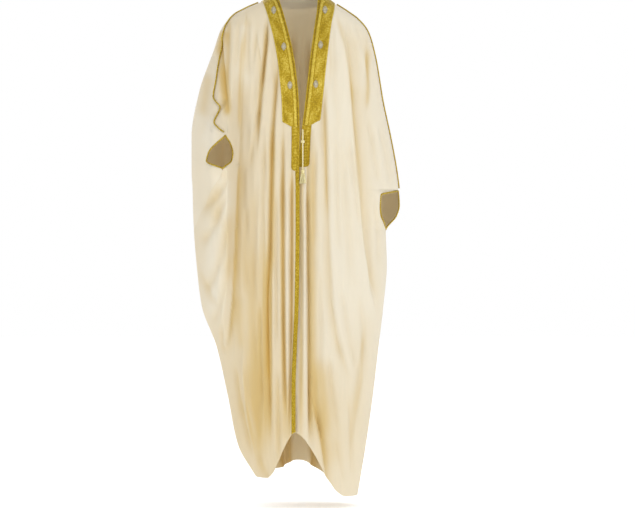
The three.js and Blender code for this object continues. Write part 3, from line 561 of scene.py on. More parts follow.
def inward_depth(side, angle, level, x, z, across):
    """How far long folds and fine creases move the cloth inwards, and how shaded it is there."""
    is_front = angle <= math.pi / 2
    long_folds, fine, shade, light_and_shade = (np.zeros(np.shape(x)) for _ in range(4))
    for part, here in (("front", is_front), ("back", ~is_front)):
        if not here.any():
            continue
        name = part + letter(side)
        on_ring = x[here], level[here], side
        seen = x[here], z[here]
        laps = [lap_depth(*row, *on_ring) for row in LAPS[name]]
        creases = sum(crease_depth(*row, *seen) for row in CREASES[name])
        long_folds[here] = sum(line_depth(*row, *on_ring) for row in FOLDS[name])
        fine[here] = sum(hollow for hollow, _ in laps) + creases
        depth = np.maximum(long_folds[here], 0) + creases * CREASE_SHADE
        # Painted shade: darker and warmer in deep folds, fine creases and the hollows beside laps
        shade[here] = depth * FOLD_SHADE[name] + sum(dark for _, dark in laps) * LAP_SHADE
        # Patches of painted shade, and of painted light where the strength is negative
        light_and_shade[here] = sum(crease_depth(*row, *seen) for row in PAINTED_LIGHT_AND_SHADE[name])
    for height, wide, tall, start in RIPPLES:
        bend = RIPPLE_BEND * np.sin(z / 210 + start)
        wave_across = np.sin((x + bend) * 2 * math.pi / wide + start)
        fine = fine + height * wave_across * np.cos(z * 2 * math.pi / tall)
    at_side = 1 - smooth_step(SIDE_FADE, 1, across)
    from_edge = (x - edge_x(side, level)) * side
    width = flat_width(z)
    at_edge = np.where(is_front, smooth_step(width * 0.7, width + 8, from_edge), 1.0)
    at_neck = smooth_step(*NECK_FADE, level)
    shade = (shade * at_edge + light_and_shade) * at_neck
    return long_folds * at_side * at_edge, fine * at_side * at_edge * at_neck, shade


def cloth_point(side, angle, level, with_shade=False):
    """Places on the cloak's outer face, in mm, as an array of rows of x, y and z."""
    angle, level = np.broadcast_arrays(np.asarray(angle, float), np.asarray(level, float))
    x, y, z, across = ring_point(side, angle, level)
    step = 0.01
    ax, ay = ring_point(side, np.maximum(0, angle - step), level)[:2]
    bx, by = ring_point(side, np.minimum(math.pi, angle + step), level)[:2]
    out_x, out_y = (by - ay) * side, (bx - ax) * side
    length = np.maximum(np.hypot(out_x, out_y), 1e-9)
    long_folds, fine, shade = inward_depth(side, angle, level, x, z, across)
    inwards = long_folds + fine
    is_front = angle <= math.pi / 2
    if side == RIGHT:
        wall = FOREARM_WALL_CURVE(-z)
        forward = (
            FOREARM_OUT_CURVE(-z)
            * smooth_step(0, FOREARM_WALL_WIDTH, wall - x)
            * (1 - smooth_step(FOREARM_SIDE_SHARE, 1, across))
        )
    else:
        from_edge = (x - edge_x(side, level)) * side
        forward = (
            -TURNED_EDGE["depth"]
            * smooth_step(TURNED_EDGE["from"], TURNED_EDGE["full"], -z)
            * (1 - smooth_step(0, TURNED_EDGE["width"], from_edge))
        )
    forward = np.where(is_front, forward, 0.0)
    sign = np.where(is_front, 1.0, -1.0)
    points = np.stack(
        [x - out_x / length * inwards, y + np.abs(out_y) / length * inwards * sign - forward, z], axis=-1
    )
    return (points, shade) if with_shade else points


def cloth_normal(side, angle, level):
    """Outward normals of the outer face, the same for both pieces at a seam."""
    turn, rise = 0.02, 3
    high = cloth_point(side, np.minimum(math.pi, angle + turn), level)
    low = cloth_point(side, np.maximum(0, angle - turn), level)
    down = cloth_point(side, angle, np.minimum(HEM_LEVEL, level + rise))
    up = cloth_point(side, angle, np.maximum(0, level - rise))
    return unit(np.cross(high - low, down - up) * -side)


def cloth_face(side, angle, level):
    """Places on the outer face and its normals there."""
    return cloth_point(side, angle, level), cloth_normal(side, angle, level)


def seam_angles(side, level):
    """Angles of the seam and of its front and rear lips at each level."""
    level = np.asarray(level, float)
    seam = np.full(level.shape, math.pi / 2)
    if side == RIGHT:
        comes_forward = (level >= 25) & (level < 700)
        seam = np.where(comes_forward, front_angle(side, SEAM_CURVE(level), level), seam)
    levels, *lips = zip(*CUFFS[side])
    inside = (level > levels[0]) & (level < levels[-1])
    front_lip, rear_lip = (front_angle(side, Curve(levels, lip)(level), level) for lip in lips)
    front = np.where(inside, front_lip, seam)
    rear = np.where(inside & (side == RIGHT), rear_lip, seam)
    return seam, front, rear


def place_in_front(side, x, z):
    """Angle and level of the place on a front panel that the front view shows at x and z."""
    x, z = np.broadcast_arrays(np.asarray(x, float), np.asarray(z, float))
    level = np.clip(-z, 0, HEM_LEVEL)
    for _ in range(12):
        angle = front_angle(side, x, level)
        level = np.clip(level + ring_point(side, angle, level)[2] - z, 0, HEM_LEVEL)
    return front_angle(side, x, level), level


def srgb(code):
    """An sRGB hex value as a linear colour."""
    values = [int(code[k : k + 2], 16) / 255 for k in (1, 3, 5)]
    return [v / 12.92 if v <= 0.04045 else ((v + 0.055) / 1.055) ** 2.4 for v in values] + [1.0]


def add_node(tree, kind, inputs=None, **settings):
    """Adds a node, sets its properties and sockets, and links the sockets that are given a socket."""
    node = tree.nodes.new("ShaderNode" + kind)
    for name, value in settings.items():
        setattr(node, name, value)
    for name, value in (inputs or {}).items():
        socket = node.inputs[name]
        if isinstance(value, bpy.types.NodeSocket):
            tree.links.new(value, socket)
        else:
            socket.default_value = value
    return node


def new_material(name):
    material = bpy.data.materials.get(name) or bpy.data.materials.new(name)
    material.use_nodes = True
    material.node_tree.nodes.clear()
    return material, material.node_tree


def colour_ramp(tree, factor, places, codes):
    """A ramp with an sRGB hex colour at each place from 0 to 1."""
    node = add_node(tree, "ValToRGB", {"Fac": factor})
    elements = node.color_ramp.elements
    for place in places[1:-1]:
        elements.new(place)
    for element, code in zip(elements, codes):
        element.color = srgb(code)
    return node.outputs["Color"]


def cloth_material(settings):
    """Cream crepe georgette: thin and matt, lets light through, with painted shade, warm tan, where folds
    lie double.
    """
    material, tree = new_material("Cream crepe georgette")
    place = add_node(tree, "TexCoord").outputs["Object"]
    shade = add_node(tree, "Attribute", attribute_name="shade").outputs["Fac"]
    clouds = add_node(tree, "TexNoise", {"Vector": place, "Scale": 7.0, "Detail": 3.0}).outputs["Fac"]
    # The colour ramp runs from the cloth's lit colour into painted shade as the shade attribute grows
    tone = add_node(tree, "Math", {0: clouds, 1: 0.14, 2: shade}, operation="MULTIPLY_ADD")
    codes = (settings.ridge_hex, settings.cloth_hex, settings.fold_shade_hex, settings.deep_shade_hex)
    colour = colour_ramp(tree, tone.outputs["Value"], (0, 0.3, 0.6, 1), codes)
    # Crepe crinkle, about 3 mm across, and the threads of the weave, about 1 mm apart
    look = {"Vector": place, "Scale": 330.0, "Detail": 2.0, "Roughness": 0.6}
    crinkle = add_node(tree, "TexNoise", look).outputs["Fac"]
    look = {"Vector": place, "Scale": 320.0, "Distortion": 2.0, "Detail": 1.0}
    threads = add_node(tree, "TexWave", look, wave_type="BANDS", bands_direction="Z").outputs["Fac"]
    height = add_node(tree, "Math", {0: threads, 1: 0.3, 2: crinkle}, operation="MULTIPLY_ADD")
    look = {"Height": height.outputs["Value"], "Strength": 0.1, "Distance": 0.0006}
    bump = add_node(tree, "Bump", look)
    look = {
        "Base Color": colour,
        "Roughness": 0.85,
        "Sheen Weight": 0.15,
        "Sheen Roughness": 0.5,
        "Specular IOR Level": 0.2,
        "Normal": bump.outputs["Normal"],
    }
    shader = add_node(tree, "BsdfPrincipled", look).outputs["BSDF"]
    through = add_node(tree, "BsdfTranslucent", {"Color": srgb(settings.through_hex)}).outputs["BSDF"]
    mix = add_node(tree, "MixShader", {0: settings.translucency, 1: shader, 2: through})
    add_node(tree, "OutputMaterial", {"Surface": mix.outputs["Shader"]})
    return material


def metal_thread_material(name, codes, roughness, metallic):
    """Metal thread braid and embroidery: fine glitter, partly painted, and a tone attribute of painted light
    and shade.
    """
    material, tree = new_material(name)
    place = add_node(tree, "TexCoord").outputs["Object"]
    tone = add_node(tree, "Attribute", attribute_name="tone").outputs["Fac"]
    # Stitches about 3 mm across, each turned its own way, so that they glitter; each stitch's colour also
    # gets a random brightness, a painted glint
    stitches = add_node(tree, "TexVoronoi", {"Vector": place, "Scale": 340.0}, feature="F1").outputs
    glint = add_node(tree, "Math", {0: stitches["Color"], 1: 0.42, 2: tone}, operation="MULTIPLY_ADD")
    colour = colour_ramp(tree, glint.outputs["Value"], (0, 0.5, 1), codes)
    threads = add_node(tree, "TexNoise", {"Vector": place, "Scale": 900.0, "Detail": 2.0}).outputs["Fac"]
    height = add_node(tree, "Math", {0: stitches["Distance"], 1: threads}, operation="ADD")
    look = {"Height": height.outputs["Value"], "Strength": 0.7, "Distance": 0.0012}
    bump = add_node(tree, "Bump", look).outputs["Normal"]
    look = {"Base Color": colour, "Metallic": metallic, "Roughness": roughness, "Normal": bump}
    shader = add_node(tree, "BsdfPrincipled", look)
    add_node(tree, "OutputMaterial", {"Surface": shader.outputs["BSDF"]})
    return material


def mesh_from_rows(name, outer, inner, attributes):
    """A closed shell between two grids of places, with named attributes for both."""
    rows, columns = outer.shape[:2]
    size = rows * columns
    points = np.concatenate([outer.reshape(-1, 3), inner.reshape(-1, 3)]) * MM
    at = np.arange(size).reshape(rows, columns)
    a, b, c, d = at[:-1, :-1], at[1:, :-1], at[1:, 1:], at[:-1, 1:]
    face = np.stack([a, b, c, d], axis=-1).reshape(-1, 4)
    faces = [face, face[:, ::-1] + size]
    for one, two in (
        (at[0, 1:], at[0, :-1]),
        (at[-1, :-1], at[-1, 1:]),
        (at[:-1, 0], at[1:, 0]),
        (at[1:, -1], at[:-1, -1]),
    ):
        faces.append(np.stack([two, one, one + size, two + size], axis=-1))
    faces = np.concatenate(faces)
    if signed_volume(points, faces) < 0:
        faces = faces[:, ::-1]
    both = {key: np.concatenate([values, values]) for key, values in attributes.items()}
    return build_mesh(name, points, faces, both)


def signed_volume(points, faces):
    a, b, c, d = (points[faces[:, k]] for k in range(4))
    return float((np.cross(b, c) * a).sum() + (np.cross(c, d) * a).sum())


def set_attribute(mesh, name, values):
    """Sets one value a point, for the materials."""
    attribute = mesh.attributes.get(name) or mesh.attributes.new(name, "FLOAT", "POINT")
    attribute.data.foreach_set("value", np.asarray(values, float).reshape(-1))


def build_mesh(name, points, faces, attributes=None):
    mesh = bpy.data.meshes.new(name)
    mesh.from_pydata(points.tolist(), [], faces.tolist())
    for key, values in (attributes or {}).items():
        set_attribute(mesh, key, values)
    mesh.shade_smooth()
    mesh.set_sharp_from_angle(angle=math.radians(SHARP_ANGLE))
    mesh.update()
    piece = bpy.data.objects.new(name, mesh)
    bpy.context.scene.collection.objects.link(piece)
    return piece


def close_ends(piece):
    """Fills the open ends of a mesh and turns its faces outwards."""
    edit = bmesh.new()
    edit.from_mesh(piece.data)
    bmesh.ops.holes_fill(edit, edges=[e for e in edit.edges if e.is_boundary], sides=0)
    bmesh.ops.recalc_face_normals(edit, faces=edit.faces)
    edit.to_mesh(piece.data)
    edit.free()


def finish_piece(piece, material, slot, *nodes):
    """Gives a piece its material, and tells the frame its body and the nodes it replaces; the slot is not
    used.
    """
    piece.data.materials.clear()
    piece.data.materials.append(material)
    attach(piece, "root")
    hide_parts(*nodes)


def deselect():
    bpy.ops.object.select_all(action="DESELECT")


def grid_levels(spacing):
    """Levels of the cloth's grid: even, and closer beside the ends of the cuffs and the wavy seam."""
    levels = [*np.arange(0, HEM_LEVEL, spacing), HEM_LEVEL, NECK_BAND_LEVEL]
    for cuff in CUFFS.values():
        for end in (cuff[0][0], cuff[-1][0]):
            levels += [end + k * CUFF_ROWS for k in range(-2, 7)]
    levels += [*np.arange(WAVY_SEAM["from"], WAVY_SEAM["to"], WAVY_SEAM["spacing"])]
    levels = sorted({round(float(v), 2) for v in levels})
    kept = [levels[0]]
    for level in levels[1:]:
        if level - kept[-1] > LEAST_ROW:
            kept.append(level)
    return np.array(kept)


def gap_turn(side, level, angle):
    """How far an angle turns to leave the gap of a seam."""
    a = cloth_point(side, angle - 0.01, level)
    b = cloth_point(side, angle + 0.01, level)
    return SEAM_GAP * 0.7 / np.maximum(np.linalg.norm(b - a, axis=-1), 1e-6) * 0.02


def column_shares(side, levels, is_front, seam):
    """Shares of the way to the seam at which the grid's columns lie, so that they follow the folds."""
    name = ("front" if is_front else "back") + letter(side)
    rows, counts = COLUMNS[name]
    coarse = 1
    counts = [max(3, count // coarse) for count in counts]
    start = 0.0 if is_front else math.pi
    knots = [np.zeros(levels.shape)]
    for row in rows:
        x = Curve(*zip(*FOLDS[name][row][0]))(levels)
        angle = (front_angle if is_front else back_angle)(side, x, levels)
        knots.append((angle - start) / (seam - start))
    knots.append(np.ones(levels.shape))
    total = sum(counts)
    for k in range(1, len(knots) - 1):
        knots[k] = np.maximum(knots[k], knots[k - 1] + LEAST_COLUMN * counts[k - 1] / total)
    for k in range(len(knots) - 2, 0, -1):
        knots[k] = np.minimum(knots[k], knots[k + 1] - LEAST_COLUMN * counts[k] / total)
    shares = [knots[0][:, None]]
    for k, count in enumerate(counts):
        steps = (np.arange(count) + 1)[None, :] / count
        shares.append(knots[k][:, None] + (knots[k + 1] - knots[k])[:, None] * steps)
    shares = np.concatenate(shares, axis=1)
    even = np.linspace(0, 1, total + 1)[None, :]
    return even + (shares - even) * smooth_step(*EVEN_COLUMNS, levels)[:, None], counts


def panel_angles(side, levels, is_front):
    """Angles of a panel's grid, from the front edge or the middle of the back to the seam's lip."""
    seam, front_lip, rear_lip = seam_angles(side, levels)
    start = 0.0 if is_front else math.pi
    shares, counts = column_shares(side, levels, is_front, seam)
    angles = start + (seam[:, None] - start) * shares
    if is_front:
        lip = front_lip - gap_turn(side, levels, front_lip - 0.02)
    else:
        lip = rear_lip + gap_turn(side, levels, rear_lip + 0.02)
    keep = sum(counts[:-1])
    last = np.clip((np.arange(angles.shape[1]) - keep) / counts[-1], 0, 1)[None, :]
    return angles + (lip - seam)[:, None] * last


def panel_grid(side, levels, is_front):
    """Places, normals and shade on a panel's grid."""
    angles = panel_angles(side, levels, is_front)
    rows = np.broadcast_to(levels[:, None], angles.shape)
    outer, shade = cloth_point(side, angles, rows, with_shade=True)
    return outer, cloth_normal(side, angles, rows), shade


def colour_setting(name, place, code):
    text = "sRGB hex colour of the cloth " + place
    return bpy.props.StringProperty(name=name, description=text, default=code)


def number_setting(name, description, default, **limits):
    return bpy.props.FloatProperty(name=name, description=description, default=default, **limits)


class BishtClothSettings(bpy.types.PropertyGroup):
    grid_spacing: number_setting("Grid Spacing", "Distance between the cloth's rows, in mm", 9.0, min=4.0)
    # The cloth's colours run from its own lit colour on the ridges into painted shade in folds and hollows
    ridge_hex: colour_setting("Ridge Colour", "on its ridges", "#F3EFE1")
    cloth_hex: colour_setting("Cloth Colour", "beside folds", "#E9DDC1")
    fold_shade_hex: colour_setting("Fold Colour", "in its folds", "#DCC48B")
    deep_shade_hex: colour_setting("Hollow Colour", "deep in its folds", "#D2AE5E")
    through_hex: colour_setting("Through Colour", "with light behind it", "#F6ECD6")
    translucency: number_setting("Translucency", "Share of the light let through", 0.32, min=0, max=1)


class BishtTrimSettings(bpy.types.PropertyGroup):
    stitch: number_setting("Stitch Step", "Distance between stitch points, in mm", 1.4, min=0.7)
    relief: number_setting("Relief", "Height of the raised stitches, in mm", 0.7, min=0.0)
    piping_radius: number_setting("Piping Radius", "Radius of the piping, in mm", 2.2, min=0.5)
    bead_pitch: number_setting("Scallop Pitch", "Length of one scallop of the piping, in mm", 6.0, min=2.0)
    strands: bpy.props.IntProperty(
        name="Tassel Strands", description="Number of threads in the tassel", default=150, min=20
    )


class BishtStageSettings(bpy.types.PropertyGroup):
    camera_distance: number_setting("Camera Distance", "From the shoulders, in metres", 12.0)
    camera_height: number_setting("Camera Height", "From the shoulders, in metres", -0.769)
    camera_side: number_setting("Camera Side", "Sideways place of the camera, in metres", 0.058)
    view_width: number_setting("View Width", "Width of the view at the cloak, in metres", 1.886)
    floor_height: number_setting("Floor Height", "From the shoulders, in metres", -1.515)


# Lights: name, place in metres, size in metres and power in watts; all aim at one place
LIGHTS = [
    ("key light", (2.8, -3.6, 1.2), 2.4, 46),
    ("fill light", (-3.0, -3.4, 0.4), 2.6, 16),
    ("back light", (-0.8, 3.2, 1.2), 2.2, 24),
]
LIGHT_AIM = (0, 0, -0.7)
SOFT_LIGHT = 0.86
WHITE = (1, 1, 1, 1)
SENSOR_WIDTH = 36
FLOOR_RADIUS = 24


class BISHT_OT_stage(bpy.types.Operator):
    """Make the pale floor, the soft lights and the camera"""

    bl_idname = "bisht.stage"
    bl_label = "Stage"

    def execute(self, context):
        settings = context.scene.bisht_stage
        deselect()
        bpy.ops.mesh.primitive_circle_add(
            vertices=96, radius=FLOOR_RADIUS, fill_type="NGON", location=(0, 0, settings.floor_height)
        )
        floor = context.active_object
        floor.name = "floor"
        bpy.ops.object.transform_apply(location=True)
        material, tree = new_material("Pale studio floor")
        look = {
            "Base Color": srgb("#F7F7F6"),
            "Roughness": 0.8,
            "Specular IOR Level": 0.1,
            "Emission Color": WHITE,
            "Emission Strength": 0.34,
        }
        shader = add_node(tree, "BsdfPrincipled", look)
        add_node(tree, "OutputMaterial", {"Surface": shader.outputs["BSDF"]})
        floor.data.materials.append(material)
        self.add_world(context)
        for name, place, size, power in LIGHTS:
            data = bpy.data.lights.new(name, "AREA")
            data.shape = "DISK"
            data.size = size
            data.energy = power
            light = bpy.data.objects.new(name, data)
            context.scene.collection.objects.link(light)
            light.location = place
            aim = Vector(LIGHT_AIM) - light.location
            light.rotation_euler = aim.to_track_quat("-Z", "Y").to_euler()
        data = bpy.data.cameras.new("camera")
        data.sensor_width = SENSOR_WIDTH
        data.lens = SENSOR_WIDTH * settings.camera_distance / settings.view_width
        camera = bpy.data.objects.new("camera", data)
        context.scene.collection.objects.link(camera)
        camera.location = (settings.camera_side, -settings.camera_distance, settings.camera_height)
        camera.rotation_euler = (math.pi / 2, 0, 0)
        context.scene.camera = camera
        context.scene.view_settings.view_transform = "Standard"
        return {"FINISHED"}

    def add_world(self, context):
        """White all round: softer as light than as what the camera sees."""
        world = bpy.data.worlds.new("Studio")
        context.scene.world = world
        world.use_nodes = True
        tree = world.node_tree
        tree.nodes.clear()
        rays = add_node(tree, "LightPath").outputs["Is Camera Ray"]
        soft, plain = (
            add_node(tree, "Background", {"Color": WHITE, "Strength": strength}).outputs["Background"]
            for strength in (SOFT_LIGHT, 1.0)
        )
        mix = add_node(tree, "MixShader", {0: rays, 1: soft, 2: plain})
        add_node(tree, "OutputWorld", {"Surface": mix.outputs["Shader"]})


class BISHT_OT_cloth(bpy.types.Operator):
    """Make the two fronts and the back as thin crepe shells with their folds"""

    bl_idname = "bisht.cloth"
    bl_label = "Cloth Panels"

    def execute(self, context):
        settings = context.scene.bisht_cloth
        coarse = 1
        levels = grid_levels(settings.grid_spacing * coarse)
        material = cloth_material(settings)
        for side in (RIGHT, LEFT):
            grid = panel_grid(side, levels, True)
            self.add_panel("cloth_front_" + SIDE_NAMES[side], grid, material, "front_" + SIDE_NAMES[side])
        right = panel_grid(RIGHT, levels, False)
        left = panel_grid(LEFT, levels, False)
        joined = [np.concatenate([r[:, ::-1], l[:, 1:]], axis=1) for r, l in zip(right, left)]
        self.add_panel("cloth_back", joined, material, "back")
        return {"FINISHED"}

    def add_panel(self, name, grid, material, node):
        outer, normals, shade = grid
        inner = outer - normals * CLOTH_THICKNESS
        # Painted shade: even over each panel, and growing towards the hem
        low = smooth_step(HEM_SHADE_FROM, HEM_SHADE_FULL, outer[..., 2]) * HEM_SHADE
        shade = np.clip(shade + low + PANEL_SHADE[node], 0, 1)
        piece = mesh_from_rows(name, outer, inner, {"shade": shade})
        finish_piece(piece, material, "cream_crepe", node)


def ridge(at, place, half_width, power=4):
    """1 on a line of stitches and 0 away from it."""
    return np.exp(-(((at - place) / half_width) ** power))


def turns(along, pitch):
    """The twist of a rope or a row of scallops, from 0 to 1."""
    return 0.5 + 0.5 * np.sin(2 * math.pi * along / pitch)


def band_relief(across, along, width, to_outer):
    """Height and tone of the gold embroidery, from 0 to 1, by mm across from the free edge and along."""
    inner = ridge(across, *BAND_ROPE)
    rope = turns(along + across * 1.4, ROPE_TURN)
    outer = ridge(to_outer, *SCALLOPED_EDGE)
    scallops = turns(along, SCALLOP_LENGTH)
    field = smooth_step(15.4, 17, across) * smooth_step(5.0, 6.6, to_outer)
    one = np.abs(((across + along) / LATTICE_PITCH) % 1 - 0.5) * 2
    two = np.abs(((across - along) / LATTICE_PITCH) % 1 - 0.5) * 2
    lattice = ridge(one, 1, 0.16, 2) + ridge(two, 1, 0.16, 2)
    flowers = np.exp(-((one**2 + two**2) / 0.12))
    height = inner * (0.75 + 0.25 * rope) + outer * (0.6 + 0.4 * scallops)
    height = height + field * np.clip(0.5 * lattice + 0.7 * flowers, 0, 0.9)
    # Tone: painted highlights on the raised lines and in broad patches; painted shade on the turned rim
    # and on the outer line beside the scallops; the border line is darker too
    # Broad patches of painted highlight on the field
    highlight_patch = np.sin(along / 17.0 + 1.3) * np.sin(across / 9.0 + along / 41.0)
    tone = 0.30 + 0.26 * inner * (0.6 + 0.4 * rope) + 0.34 * outer * scallops
    tone = tone + field * (0.10 * np.clip(lattice, 0, 1) + 0.3 * flowers - 0.04 + 0.15 * highlight_patch)
    tone = tone - 0.18 * ridge(across, *BORDER_LINE, 2) - 0.34 * ridge(across, *TURNED_RIM_SHADE)
    tone = tone - 0.14 * ridge(to_outer, *OUTER_EDGE_SHADOW, 2)
    return np.clip(height, 0, 1), np.clip(tone, 0, 1)


def lower_relief(across, along, width, to_outer):
    """Height and tone of the lower band: roped borders and one row of leaves."""
    edges = ridge(across, *LOWER_ROPE) + ridge(to_outer, *LOWER_ROPE)
    rope = turns(along + across, LOWER_ROPE_TURN)
    swell = np.abs(np.sin(math.pi * along / LEAF_LENGTH))
    leaf = ridge(across, width / 2, 2.5 + 3.2 * swell)
    height = edges * (0.7 + 0.3 * rope) + leaf * (0.45 + 0.3 * swell)
    # Tone: painted highlights on the raised ropes and leaves
    return np.clip(height, 0, 1), np.clip(0.2 + 0.12 * edges * rope + 0.2 * leaf * swell, 0, 1)


def edging_relief(across, along, width, to_outer):
    """Height and tone of the narrow edging: two cords with a zigzag between them."""
    cords = ridge(across, *EDGING_CORD) + ridge(to_outer, *EDGING_CORD)
    rope = turns(along, ROPE_TURN)
    middle = width / 2 + ZIGZAG_REACH * np.sin(2 * math.pi * along / ZIGZAG_PITCH)
    zigzag = ridge(across, middle, 1.1, 2)
    height = cords * (0.6 + 0.4 * rope) + 0.6 * zigzag
    # Tone: painted highlights on the raised cords and zigzag
    return np.clip(height, 0, 1), np.clip(0.18 + 0.2 * cords * rope + 0.2 * zigzag, 0, 1)


def stitched_shell(name, base, normals, height, tone, settings, thickness=TRIM_THICKNESS):
    """A closed strip of trim over places on the cloth, with its stitches raised."""
    low = base + normals * SEAM_GAP
    high = base + normals * (SEAM_GAP + thickness + height * settings.relief)[..., None]
    return mesh_from_rows(name, high, low, {"tone": tone})


def strip_outline(strip, slant=None):
    """Levels down a strip's outer edge, and its width at each: a rounded corner, then perhaps a slant."""
    turns = np.linspace(0, math.pi / 2, 10)
    corner, width, bottom = strip["corner"], strip["width"], strip["bottom"]
    levels = [strip["top"], *(bottom - corner * (1 - np.sin(turns)))]
    widths = [strip["width_at_top"], *(width - corner * (1 - np.cos(turns)))]
    if slant:
        levels.append(slant["bottom"])
        widths.append(slant["width"])
    return np.array(levels), np.array(widths)


def strip_on_edge(name, side, strip, relief_of, settings, slant=None, thickness=TRIM_THICKNESS):
    """A strip of trim along a front edge, on the cloth's outer face, with its stitches raised."""
    step = settings.stitch * 1
    outline_levels, outline_widths = strip_outline(strip, slant)
    lowest = outline_levels[-1]
    levels = np.linspace(strip["top"], lowest, max(8, int((lowest - strip["top"]) / step)))
    reach = np.interp(levels, outline_levels, outline_widths)
    columns = max(6, int(strip["width"] / step))
    outer_x = edge_x(side, levels) + side * reach
    outer_x = np.where(levels <= NECK_BAND_LEVEL, tip_x(side, levels), outer_x)
    end = front_angle(side, outer_x, levels)
    share = np.linspace(0, 1, columns)
    angles = end[:, None] * share[None, :]
    rows = np.broadcast_to(levels[:, None], angles.shape)
    base, normals = cloth_face(side, angles, rows)
    across = share[None, :] * reach[:, None]
    # Distance to the outer edge, or to the slanted lower end where that is nearer
    end_level = np.interp(across, outline_widths[::-1], outline_levels[::-1])
    end_level = np.where(across < outline_widths[-1], lowest + FAR_BELOW * bool(slant), end_level)
    to_outer = np.minimum(reach[:, None] - across, end_level - rows)
    height, tone = relief_of(across, rows, strip["width"], to_outer)
    rim = smooth_step(0, 0.02, share) * smooth_step(1, 0.98, share)
    return stitched_shell(name, base, normals, height * rim, tone, settings, thickness)


# Name, sRGB hex colours from shade to glint, roughness and metallic. Metal thread is metal foil wound
# on silk, so it glints like metal; the cord is more silk than metal.
THREADS = {
    "gold": ("Gold metal thread", ("#5E4404", "#AE9118", "#E9D468"), 0.45, 0.7),
    "silver": ("Silver metal thread", ("#6F6650", "#A99F84", "#E6E0D0"), 0.4, 0.4),
    "silk": ("Pale gold silk cord", ("#A8904A", "#E2D492", "#FAF5D8"), 0.5, 0.15),
}


class BISHT_OT_bands(bpy.types.Operator):
    """Make the wide and lower gold bands, the band behind the neck and the front edging"""

    bl_idname = "bisht.bands"
    bl_label = "Gold Bands"

    def execute(self, context):
        settings = context.scene.bisht_trim
        gold = metal_thread_material(*THREADS["gold"])
        width = WIDE_BAND["width"]
        for side in (RIGHT, LEFT):
            word = SIDE_NAMES[side]
            ends = WIDE_BAND_ENDS[side]
            slant = {"bottom": ends["inner"], "width": LOWER_BAND[side]["width_at_top"]}
            strip = dict(WIDE_BAND, top=0, bottom=ends["outer"], width_at_top=width)
            band = strip_on_edge("gold_band_" + word, side, strip, band_relief, settings, slant)
            finish_piece(band, gold, "gold_thread", "front_band_" + word)
            strip = dict(LOWER_BAND[side], top=ends["inner"] + SEAM_GAP)
            lower = strip_on_edge("gold_lower_band_" + word, side, strip, lower_relief, settings)
            finish_piece(lower, gold, "gold_thread", "lower_band_" + word)
        strip = {
            "top": LOWER_BAND[RIGHT]["bottom"] + 0.4,
            "bottom": HEM_LEVEL - 1,
            "corner": 0,
            "width": EDGING_WIDTH,
            "width_at_top": EDGING_WIDTH,
        }
        edging = strip_on_edge(
            "gold_edging", RIGHT, strip, edging_relief, settings, thickness=EDGING_THICKNESS
        )
        finish_piece(edging, gold, "gold_thread", "front_edging_right")
        self.add_neck_band(settings, gold)
        return {"FINISHED"}

    def add_neck_band(self, settings, gold):
        """The band behind the neck, between the shoulder seams."""
        step = settings.stitch * 1
        width = WIDE_BAND["width"]
        levels = np.linspace(0, NECK_BAND_LEVEL, int(width / step))
        angles = np.linspace(math.pi / 2 + 0.004, math.pi, int(NECK_BAND_HALF / step))
        places = np.meshgrid(angles, levels)
        right, left = (cloth_face(side, *places) for side in (RIGHT, LEFT))
        base, normals = (np.concatenate([r, l[:, -2::-1]], axis=1) for r, l in zip(right, left))
        lengths = np.linalg.norm(np.diff(base[len(levels) // 2], axis=0), axis=-1)
        along = np.concatenate([[0], np.cumsum(lengths)])[None, :]
        across, along = np.broadcast_arrays(levels[:, None] / NECK_BAND_LEVEL * width, along)
        height, tone = band_relief(across, along, width, width - across)
        rim = smooth_step(0, 1, levels) * smooth_step(NECK_BAND_LEVEL, NECK_BAND_LEVEL - 1, levels)
        height = height * rim[:, None]
        band = stitched_shell("gold_neck_band", base, normals, height, tone, settings)
        finish_piece(band, gold, "gold_thread", "neck_band_back")


